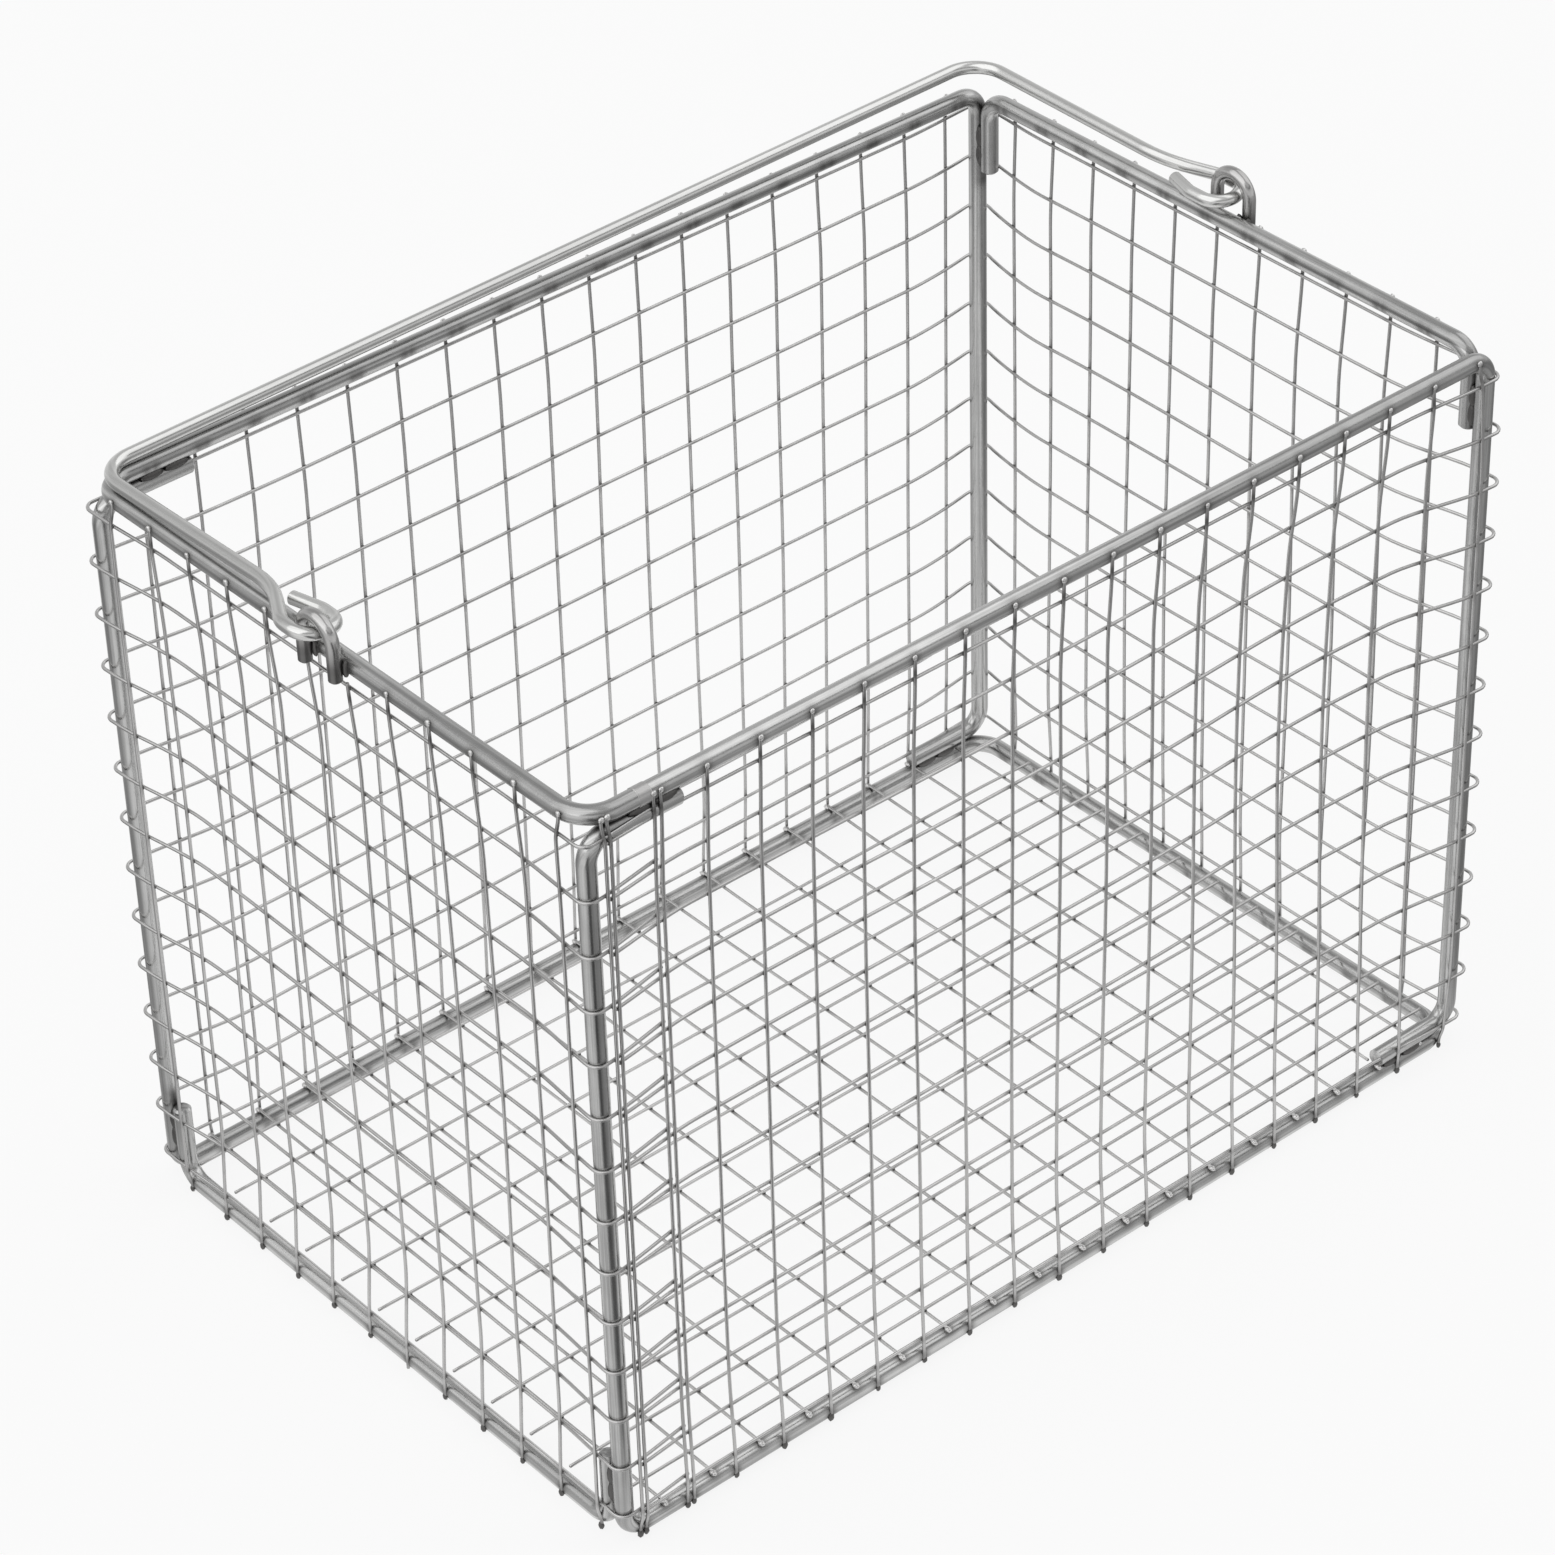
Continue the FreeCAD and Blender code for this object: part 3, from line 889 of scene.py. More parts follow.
@dataclass(frozen=True)
class FrameWires:
    """The bent wires of the frame: rim, base and the two staples.

    Args:
        outline: Sizes of the frame.
        places: Where the uprights are welded to the rails.
        wander: How the uprights stray along the rails.
        sides: Points round a section.
        step: Distance between sections on a run.
        upright_mark, inner_mark, floor_mark, seam_mark: Darkening at the uprights' welds, inside
            the rails behind them, at the floor's welds and along the seams of legs.
        weld_rise: Height of the uprights' welds above a rail's axis; inside, depth below it.
        inner_drifts, inner_jitter: Where the inner marks lie beside a weld, and by how much at random.
        floor_reach: How far outside the rails' axes the floor's welds lie.
        seam_step: Distance between the marks along a seam.
    """

    outline: FrameSizes
    places: WallPlaces
    wander: MeshWander
    sides: int = 28
    step: float = 0.8
    upright_mark: HeatMark = HeatMark(1.0, 1.3)
    inner_mark: HeatMark = HeatMark(0.75, 1.25)
    floor_mark: HeatMark = HeatMark(1.0, 1.45)
    seam_mark: HeatMark = HeatMark(0.85, 1.9)
    weld_rise: float = 0.2
    inner_drifts: tuple[float, float] = (-0.8, 0.9)
    inner_jitter: float = 0.5
    floor_reach: float = 0.5
    seam_step: float = 1.5

    def wire(self, corners: Sequence[Point], bends: Sequence[float], end_break: float) -> Surface:
        """Sweeps one wire of the frame and darkens it at its welds.

        Args:
            corners: Points of its route.
            bends: Radius at each inner point.
            end_break: Size of the broken edge at its ends.

        Returns:
            Its surface.
        """
        path = Route(corners, bends, self.step).sections()
        surface = swept_wire(path, self.outline.radius, self.sides, end_break)
        marks = (
            self.upright_mark.on(surface.points, self.upright_welds()),
            self.inner_mark.on(surface.points, self.inner_marks()),
            self.floor_mark.on(surface.points, self.floor_welds()),
            self.seam_mark.on(surface.points, self.seam_welds()),
        )
        surface.heat = np.max(marks, axis=0)
        return surface

    def rail_points(self, wall: Wall, run: Array, out: float, height: float, rise: float) -> Array:
        """Args: wall, run, out, height, rise. Returns: points at the uprights on one rail."""
        real = run + self.wander.shift(wall, run, height)
        return wall_points(wall, self.outline, real, out, height + rise)

    def upright_welds(self) -> Array:
        """Returns: where uprights touch the outer faces of the rails."""
        size = self.outline
        spots = [
            self.rail_points(wall, run, size.radius, height, self.weld_rise)
            for wall, run in self.places.groups().values()
            for height in (size.rim_z, size.base_z)
        ]
        return np.vstack(spots)

    def inner_marks(self) -> Array:
        """Returns: where the heat of the same welds shows on the rails' inner faces."""
        size, jitter = self.outline, self.inner_jitter
        chance = np.random.default_rng(SEED)
        spots = []
        for wall, run in self.places.on.items():
            for height in (size.rim_z, size.base_z):
                for drift in self.inner_drifts:
                    beside = run + drift + chance.uniform(-jitter, jitter, len(run))
                    spots.append(self.rail_points(wall, beside, -size.radius, height, -self.weld_rise))
        return np.vstack(spots)

    def floor_welds(self) -> Array:
        """Returns: where the floor's cross wires touch the tops of the long rails."""
        size = self.outline
        y, top = size.post_y + self.floor_reach, size.base_z + size.radius
        return np.array([(x, side * y, top) for x in self.places.floor_x for side in (-1, 1)])

    def seam_welds(self) -> Array:
        """Returns: points along the seams between legs and rails, and at the post welds."""
        size = self.outline
        face_y = size.post_y - size.radius
        spots = []
        for side in (-1, 1):
            for reach in np.arange(size.rail_bend / 2, size.leg_reach, self.seam_step):
                spots.append((-size.post_x + reach, side * size.post_y, size.rim_z - size.radius))
                spots.append((size.post_x - reach, side * size.post_y, size.base_z + size.radius))
            for fall in np.arange(size.radius * 1.5, size.leg_reach, self.seam_step):
                spots.append((size.post_x, side * face_y, size.rim_z - fall))
                spots.append((-size.post_x, side * face_y, size.base_z + fall))
        return np.array(spots)

    def rim(self) -> Surface:
        """Returns: from the butt weld round two corners, along the far rail, down a post."""
        size = self.outline
        x, y, rim_z, foot_z = size.post_x, size.post_y, size.rim_z, size.base_z + size.wire
        corners = [
            (-x + size.butt_from_post, -y, rim_z),
            (-x, -y, rim_z),
            (-x, y, rim_z),
            (x, y, rim_z),
            (x, y, foot_z),
            (x - size.leg_reach, y, foot_z),
        ]
        return self.wire(corners, [size.rail_bend] * 2 + [size.post_bend] * 2, 0.0)

    def closer(self) -> Surface:
        """Returns: from the butt weld along the near rail and down the post at its end."""
        size = self.outline
        x, y, foot_z = size.post_x, -size.post_y, size.base_z + size.wire
        start = (-x + size.butt_from_post, y, size.rim_z)
        corners = [start, (x, y, size.rim_z), (x, y, foot_z), (x - size.leg_reach, y, foot_z)]
        return self.wire(corners, [size.post_bend] * 2, 0.0)

    def base(self) -> Surface:
        """Returns: three bottom rails, two posts and two short legs under the rim."""
        size = self.outline
        x, y, base_z, leg_z = size.post_x, size.post_y, size.base_z, size.rim_z - size.wire
        corners = [
            (-x + size.leg_reach, y, leg_z),
            (-x, y, leg_z),
            (-x, y, base_z),
            (x, y, base_z),
            (x, -y, base_z),
            (-x, -y, base_z),
            (-x, -y, leg_z),
            (-x + size.leg_reach, -y, leg_z),
        ]
        tight, wide = [size.post_bend] * 2, [size.rail_bend] * 2
        return self.wire(corners, tight + wide + tight, size.end_break)

    def staple(self, x: float, rail_z: float, leg_direction: int) -> Surface:
        """Short rail between two posts with both ends beside the posts.

        Args:
            x: Where the rail lies.
            rail_z: Its height.
            leg_direction: 1 if the legs point up, -1 if down.

        Returns:
            Its surface.
        """
        size = self.outline
        leg_y = size.post_y - size.wire
        leg_z = rail_z + leg_direction * size.staple_leg
        corners = [(x, leg_y, leg_z), (x, leg_y, rail_z), (x, -leg_y, rail_z), (x, -leg_y, leg_z)]
        return self.wire(corners, [size.post_bend] * 2, size.end_break)

    def build(self) -> None:
        """Draws every wire of the frame."""
        size = self.outline
        look = Look(FRAME_FINISH.material("frame_steel"), Slot.FRAME, crease=SHARP_END)
        drawn = {
            "rim_wire": self.rim(),
            "rim_closer_wire": self.closer(),
            "base_wire": self.base(),
            "rim_staple": self.staple(size.post_x, size.rim_z, -1),
            "foot_staple": self.staple(-size.post_x, size.base_z, 1),
        }
        for node, surface in drawn.items():
            look.draw("drawn_" + node, surface, node)


@dataclass(frozen=True)
class RailWeld:
    """The weld metal where uprights meet one rail.

    Args:
        rise: Height against the rail's axis.
        stand_off: Distance outward from the rail's face.
        lump: Its shape.
    """

    rise: float
    stand_off: float
    lump: Lump


@dataclass(frozen=True)
class SideMesh:
    """The strip of welded mesh that is wrapped round the posts.

    Args:
        outline: Sizes of the frame.
        mesh: Sizes of the mesh.
        places: Where the uprights stand.
        bail: Sizes of the ears, which shorten the uprights under them.
        wander: How the mesh strays from true.
        sides: Points round a section.
        step: Distance between sections.
        hoop_mark, upright_mark, neck_mark, foot_mark: Darkening at the crossings, on hoops and on
        uprights, as weld heat and painted shade where the wires touch, and at the uprights' ends.
        crossing: Nugget of a crossing, dark with weld heat and painted contact shade.
        rim_weld, base_weld: Bright pressed end on the rim, and dark blob at the foot.
        neck_drop: How far below the rim rail the neck's darkening lies.
        weld_jitter, weld_scales: Random shift along the rail, and random size, of a rail weld.
        end_run, end_step: Length of an upright's finely cut end, and number of cuts.
        lean_reach: Distance from a rail over which an upright leans in.
    """

    outline: FrameSizes
    mesh: MeshSizes
    places: WallPlaces
    bail: BailSizes
    wander: MeshWander
    sides: int = 10
    step: float = 2.6
    hoop_mark: HeatMark = HeatMark(0.65, 0.95)
    upright_mark: HeatMark = HeatMark(0.65, 0.72)
    neck_mark: HeatMark = HeatMark(0.9, 1.5)
    foot_mark: HeatMark = HeatMark(0.6, 1.6)
    crossing: Lump = Lump((0.50, 0.34, 0.54), 8, 3, 0.12)
    rim_weld: RailWeld = RailWeld(0.70, 0.06, Lump((0.66, 0.42, 0.64), 12, 5, 0.08, 0.0))
    base_weld: RailWeld = RailWeld(-0.8, 0.0, Lump((0.90, 0.50, 0.62), 12, 5, 0.08))
    neck_drop: float = 0.9
    weld_jitter: float = 0.15
    weld_scales: tuple[float, float] = (0.85, 1.15)
    end_run: float = 8.0
    end_step: int = 14
    lean_reach: float = 5.0

    @property
    def hoop_out(self) -> float:
        """Returns: distance of the hoops' axes from the posts' axes."""
        return self.outline.radius + self.mesh.radius

    @property
    def upright_out(self) -> float:
        """Returns: distance of the uprights' axes from the posts' axes."""
        return self.hoop_out + self.mesh.wire - self.mesh.weld_sink

    @property
    def jog_start_y(self) -> float:
        """Returns: where the hoops start to step up before the last corner."""
        return -self.outline.post_y + 2 * self.hoop_out + self.mesh.lap_jog_run

    def wire(self, path: Array) -> Surface:
        """Args: path: section centres. Returns: one mesh wire."""
        return swept_wire(path, self.mesh.radius, self.sides, self.mesh.end_break)

    def hoop(self, number: int, z: float) -> Surface:
        """One horizontal wire, once round the posts and over its own start.

        Args:
            number: Its number from the lowest, from 0.
            z: Its height where the strip starts.

        Returns:
            Its surface.
        """
        size, mesh = self.outline, self.mesh
        x, y = size.post_x + self.hoop_out, size.post_y + self.hoop_out
        lap_z = z + mesh.lap_rise
        corners = [
            (self.places.strip_start[0] - mesh.stub, -y, z),
            (x, -y, z),
            (x, y, z),
            (-x, y, z),
            (-x, self.jog_start_y, z),
            (-x, self.jog_start_y - mesh.lap_jog_run, lap_z),
            (-x, -y, lap_z),
            (-size.post_x + mesh.lap_length + mesh.stub, -y, z + mesh.lap_end_rise),
        ]
        bends = (self.hoop_out,) * 3 + (mesh.lap_jog_bend,) * 2 + (self.hoop_out,)
        surface = self.wire(self.wander.moved(Route(corners, bends, self.step, 15.0).sections()))
        # The crossing marks on the hoop are weld heat and painted shade where it passes behind the uprights.
        marks = np.vstack([self.crossings(*group)[number] for group in self.places.groups().values()])
        surface.heat = self.hoop_mark.on(surface.points, marks)
        return surface

    def crossings(self, wall: Wall, places: Array) -> Array:
        """Centres of the spot welds between a row of uprights and every hoop.

        Args:
            wall: The wall.
            places: Places of the uprights.

        Returns:
            A row of points per hoop, lowest first.
        """
        mesh = self.mesh
        run, height = np.meshgrid(places, np.array(mesh.hoop_heights))
        if places is self.places.on[Wall.NEAR_LONG]:
            share = (run + self.outline.post_x) / (mesh.lap_length + mesh.stub)
            height = height + (mesh.lap_rise + share * (mesh.lap_end_rise - mesh.lap_rise)) * (share < 1)
        if wall is Wall.NEAR_SHORT:
            height = height + mesh.lap_rise * np.clip((self.jog_start_y - run) / mesh.lap_jog_run, 0, 1)
        between = (self.hoop_out + self.upright_out) / 2
        points = wall_points(wall, self.outline, run.ravel(), between, height.ravel())
        return self.wander.moved(points).reshape(len(mesh.hoop_heights), len(places), 3)

    def upright_path(self, wall: Wall, place: float) -> Array:
        """Centres of one vertical wire, which leans onto the rails at both ends.

        Away from the posts the whole wall is drawn in, so that its ends touch the
        rails. Beside a post the wire leans in by itself between the last hoop and the
        rail, along a smooth step.

        Args:
            wall: The wall that it stands on.
            place: Its place along the wall.

        Returns:
            The section centres from foot to top.
        """
        foot_z, top_z = self.mesh.foot_gap, self.top(wall, place)
        ends = np.linspace(0, self.end_run, self.end_step)
        middle = np.arange(foot_z + self.end_run + 1.0, top_z - self.end_run - 1.0, self.step)
        height = np.concatenate([foot_z + ends, middle, np.flip(top_z - ends)])
        to_rail = np.minimum(height - self.outline.base_z, self.outline.rim_z - height)
        own_lean = self.wander.draw_in * (1 - self.wander.off_post(wall, np.array([place])))
        out = self.upright_out - own_lean * (1 - eased(to_rail, self.lean_reach))
        return self.wander.moved(wall_points(wall, self.outline, place, out, height))

    def top(self, wall: Wall, place: float) -> float:
        """Args: wall, place. Returns: height of the upright's end, lower under an ear."""
        mesh, bail = self.mesh, self.bail
        ears = {Wall.NEAR_SHORT: bail.ear_shifts[0], Wall.FAR_SHORT: bail.ear_shifts[1]}
        if wall in ears:
            to_leg = abs(abs(place - ears[wall]) - bail.ear_spread / 2)
            if to_leg < (bail.ear_wire + mesh.wire) / 2 + mesh.ear_gap:
                return self.outline.rim_z - bail.ear_foot_drop - mesh.ear_gap
        return self.outline.rim_z + mesh.top_reach

    def uprights(self, wall: Wall, places: Array) -> Surface:
        """Args: wall, places. Returns: the vertical wires at those places."""
        crossings = self.crossings(wall, places)
        to_neck = self.mesh.top_reach + self.outline.radius + self.neck_drop
        wires = []
        for number, place in enumerate(places):
            path = self.upright_path(wall, float(place))
            wire = self.wire(path)
            marks = (
                self.upright_mark.on(wire.points, crossings[:, number]),
                self.neck_mark.on(wire.points, path[-1:] - to_neck * Z),
                self.foot_mark.on(wire.points, path[:1] + self.outline.radius * Z),
            )
            wire.heat = np.max(marks, axis=0)
            wires.append(wire)
        return joined(wires)

    def crossing_welds(self) -> Surface:
        """Returns: the small dark nuggets of the mesh's own spot welds, with weld heat and painted contact
        shade.
        """
        surfaces = []
        for number, (wall, places) in enumerate(self.places.groups().values()):
            centres = self.crossings(wall, places).reshape(-1, 3)
            surfaces.append(self.crossing.at(centres, Z, wall.out, SEED + number))
        return joined(surfaces)

    def rail_welds(self) -> Surface:
        """Returns: bright pressed ends on the rim and dark blobs at the feet."""
        chance = np.random.default_rng(SEED + 9)
        size = self.outline
        surfaces = []
        for number, (wall, places) in enumerate(self.places.groups().values()):
            kept = np.array([place for place in places if self.top(wall, float(place)) > size.rim_z])
            for rail_z, weld in ((size.rim_z, self.rim_weld), (size.base_z, self.base_weld)):
                run = kept + self.wander.shift(wall, kept, rail_z)
                run = run + chance.uniform(-self.weld_jitter, self.weld_jitter, len(kept))
                centres = wall_points(wall, size, run, size.radius + weld.stand_off, rail_z + weld.rise)
                scale = chance.uniform(*self.weld_scales, (len(kept), 1, 1))
                surfaces.append(weld.lump.at(centres, Z, wall.out, SEED + 20 + number, scale))
        return joined(surfaces)

    def build(self) -> None:
        """Draws the hoops, the uprights and their welds."""
        steel = Look(MESH_FINISH.material("mesh_steel"), Slot.MESH)
        weld = Look(WELD_FINISH.material("weld_steel"), Slot.MESH)
        for number, z in enumerate(self.mesh.hoop_heights):
            node = f"side_mesh_hoop_{number + 1:02d}"
            steel.draw("drawn_" + node, self.hoop(number, z), node)
        for node, group in self.places.groups().items():
            steel.draw("drawn_" + node, self.uprights(*group), node)
        weld.draw("mesh_crossing_welds", self.crossing_welds())
        weld.draw("upright_end_welds", self.rail_welds())


@dataclass(frozen=True)
class FloorMesh:
    """The flat panel of welded mesh on the bottom rails.

    Args:
        outline: Sizes of the frame.
        mesh: Sizes of the mesh.
        places: Places of the wires, the same as those of uprights.
        sag: Largest shift up or down.
        drift: Largest shift sideways.
        calm_reach: Distance from the rails over which the shifts fade out.
        sides: Points round a section.
        step: Distance between sections.
        mark: Darkening at the crossings.
        crossing, end: Nugget of a crossing, and weld of a cross wire's end.
        end_reach, end_sink: Where that weld lies, outside the rail's axis and below the wire's.
    """

    outline: FrameSizes
    mesh: MeshSizes
    places: WallPlaces
    sag: float = 0.35
    drift: float = 0.3
    calm_reach: float = 20.0
    sides: int = 10
    step: float = 3.0
    mark: HeatMark = HeatMark(0.65, 0.8)
    crossing: Lump = Lump((0.50, 0.34, 0.50), 8, 3, 0.12)
    end: Lump = Lump((0.75, 0.6, 0.9), 10, 4, 0.10, 0.0)
    end_reach: float = 0.9
    end_sink: float = 0.2

    @property
    def cross_z(self) -> float:
        """Returns: height of the cross wires' axes."""
        return self.outline.base_z + self.outline.radius + self.mesh.radius

    def moved(self, points: Array) -> Array:
        """Args: points: on the floor. Returns: them, shifted by slow sine waves."""
        x, y = points[:, 0], points[:, 1]
        calm_x = eased(self.outline.post_x - np.abs(x), self.calm_reach)
        calm_y = eased(self.outline.post_y - np.abs(y), self.calm_reach)
        shift_x = self.drift * np.sin(x / 24 + y / 37)
        shift_y = self.drift * np.sin(x / 41 - y / 23 + 2.0)
        shift_z = self.sag * np.sin(x / 31 + 0.4) * np.cos(y / 26 + 1.1)
        return points + (calm_x * calm_y * [shift_x, shift_y, shift_z]).T

    def wire(self, ends: tuple[Array, Array], crossings: Array) -> Surface:
        """Args: ends: of its axis, crossings. Returns: one wire, darkened at its crossings."""
        start, end = np.array(ends)
        count = int(np.abs(end - start).max() / self.step)
        path = np.linspace(start, end, count)
        wire = swept_wire(self.moved(path), self.mesh.radius, self.sides, self.mesh.end_break)
        wire.heat = self.mark.on(wire.points, crossings)
        return wire

    def cross_wires(self) -> Surface:
        """Returns: the wires between the long rails, ending on top of them or beside a leg."""
        size, z = self.outline, self.cross_z
        wires = []
        for x in self.places.floor_x:
            beside_leg = x > size.post_x - size.leg_reach - self.mesh.wire
            y = size.post_y - size.radius if beside_leg else size.post_y + self.mesh.floor_overhang
            wires.append(self.wire(((x, -y, z), (x, y, z)), self.crossings([x], self.places.floor_y)))
        return joined(wires)

    def long_wires(self) -> Surface:
        """Returns: the wires between the short rails, on top of the others."""
        x = self.outline.post_x - self.outline.radius * math.sqrt(0.5)
        z = self.cross_z + self.mesh.wire
        wires = [
            self.wire(((-x, y, z), (x, y, z)), self.crossings(self.places.floor_x, [y]))
            for y in self.places.floor_y
        ]
        return joined(wires)

    def crossings(self, x: Sequence[float], y: Sequence[float]) -> Array:
        """Args: x, y: places of wires. Returns: where they cross."""
        run, across = (grid.ravel() for grid in np.meshgrid(x, y))
        height = np.full(len(run), self.cross_z + self.mesh.radius)
        return self.moved(np.stack([run, across, height], axis=1))

    def welds(self) -> Surface:
        """Returns: nuggets at the crossings and where cross wires lie on the rails."""
        centres = self.crossings(self.places.floor_x, self.places.floor_y)
        end_y, end_z = self.outline.post_y + self.end_reach, self.cross_z - self.end_sink
        ends = [(x, side * end_y, end_z) for side in (-1, 1) for x in self.places.floor_x]
        return joined([self.crossing.at(centres, X, Z, SEED + 31), self.end.at(ends, X, Z, SEED + 32)])

    def build(self) -> None:
        """Draws the floor's wires and welds."""
        steel = Look(MESH_FINISH.material("floor_mesh_steel"), Slot.MESH)
        weld = Look(WELD_FINISH.material("floor_weld_steel"), Slot.MESH)
        steel.draw("drawn_floor_cross_wires", self.cross_wires(), "floor_cross_wires")
        steel.draw("drawn_floor_long_wires", self.long_wires(), "floor_long_wires")
        weld.draw("floor_mesh_welds", self.welds())


@dataclass(frozen=True)
class BailAndEars:
    """The bail handle and the two ears that its hooks turn in.

    Args:
        outline: Sizes of the frame.
        size: Sizes of the bail and ears.
        sides: Points round a section.
        step, ear_step: Distance between sections of the bail and of the ears.
        mark: Darkening at an ear's welds.
        mark_drop: How far below the rim's axis that darkening lies.
        leg_heat, leg_top, leg_fade: Darkening of the ears' legs, where it ends above the rim's
            axis, and the height over which it fades.
        weld: Lump between an ear's leg and the rim.
        weld_shifts, weld_sink, weld_drop: Where the lumps lie beside a leg's axis, inside the
            rail's face and below its axis.
    """

    outline: FrameSizes
    size: BailSizes
    sides: int = 28
    step: float = 0.8
    ear_step: float = 0.6
    mark: HeatMark = HeatMark(1.0, 3.4)
    mark_drop: float = 0.5
    leg_heat: float = 0.8
    leg_top: float = 3.4
    leg_fade: float = 3.0
    weld: Lump = Lump((1.9, 0.75, 0.8))
    weld_shifts: tuple[float, float] = (-1.3, 1.3)
    weld_sink: float = 0.1
    weld_drop: float = 0.2

    @property
    def ear_x(self) -> float:
        """Returns: distance of the ears' axes from the middle."""
        return self.outline.post_x + self.outline.radius + self.size.ear_wire / 2

    def ear(self, number: int) -> Surface:
        """Inverted U of wire on the outside of a short rim rail.

        Args:
            number: 0 for the near ear, 1 for the far one.

        Returns:
            Its surface, darkened where it is welded on.
        """
        size, rim_z = self.size, self.outline.rim_z
        x = (-1, 1)[number] * self.ear_x
        half = size.ear_spread / 2
        legs = [size.ear_shifts[number] - half, size.ear_shifts[number] + half]
        foot_z, arch_z = rim_z - size.ear_foot_drop, rim_z + size.ear_leg_top + half
        corners = [(x, legs[0], foot_z), (x, legs[0], arch_z), (x, legs[1], arch_z), (x, legs[1], foot_z)]
        path = Route(corners, (half, half), self.ear_step).sections()
        surface = swept_wire(path, size.ear_wire / 2, self.sides, size.end_break)
        marks = self.mark.on(surface.points, np.array([(x, y, rim_z - self.mark_drop) for y in legs]))
        faded = self.leg_heat * eased(rim_z + self.leg_top - surface.points[:, 2], self.leg_fade)
        surface.heat = np.maximum(marks, faded)
        return surface

    def arm(self, number: int) -> list[Point]:
        """Route of one arm from the free tip of its hook to the arm's corner.

        Args:
            number: 0 for the near arm, 1 for the far one.

        Returns:
            The points that the runs aim at.
        """
        size, outline = self.size, self.outline
        outer = self.ear_x + (size.ear_wire + size.wire) / 2 + size.ear_gap
        inner = outer - 2 * size.turn
        bend_y = size.ear_shifts[number] + size.bend_reach
        slant = size.slants[number] / 2
        corner_rise = outline.radius + size.wire / 2 + size.rail_gap + (0.0, size.far_lift)[number]
        points = [
            (inner + size.tip_close, size.tip_reach, size.tip_rises[number]),
            (inner, bend_y, size.inner_rise),
            (inner, size.foot - slant, size.inner_rise),
            (outer, size.foot + slant, size.outer_rises[number]),
            (outer, bend_y, size.outer_rises[number]),
            (outline.post_x, size.knee_reach, size.knee_rises[number]),
            (outline.post_x, outline.post_y, corner_rise),
        ]
        return [((-1, 1)[number] * x, y, outline.rim_z + rise) for x, y, rise in points]

    def bail(self) -> Surface:
        """Returns: the whole bail, from one hook's tip to the other's."""
        size = self.size
        bends = [size.side_bend, size.turn_bend, size.outer_bend, size.side_bend, size.knee_bend, size.bend]
        route = Route(self.arm(0) + self.arm(1)[::-1], bends + bends[::-1], self.step)
        return swept_wire(route.sections(), size.wire / 2, self.sides, size.end_break)

    def ear_welds(self) -> Surface:
        """Returns: the lumps between the ears' legs and the rim."""
        size, outline = self.size, self.outline
        face = outline.post_x + outline.radius - self.weld_sink
        centres = [
            (side * face, shift + leg * size.ear_spread / 2 + beside, outline.rim_z - self.weld_drop)
            for side, shift in zip((-1, 1), size.ear_shifts)
            for leg in (-1, 1)
            for beside in self.weld_shifts
        ]
        return self.weld.at(centres, Z, X, SEED + 50)

    def build(self) -> None:
        """Draws the ears and the bail."""
        ear = Look(EAR_FINISH.material("ear_steel"), Slot.EAR, crease=SHARP_END)
        weld = Look(WELD_FINISH.material("ear_weld_steel"), Slot.EAR)
        for number, node in enumerate(("near_ear", "far_ear")):
            ear.draw("drawn_" + node, self.ear(number), node)
        weld.draw("ear_welds", self.ear_welds())
        bail = Look(BAIL_FINISH.material("bail_steel"), Slot.HANDLE, Body.HANDLE, SHARP_END)
        bail.draw("drawn_bail_handle", self.bail(), "bail_handle")


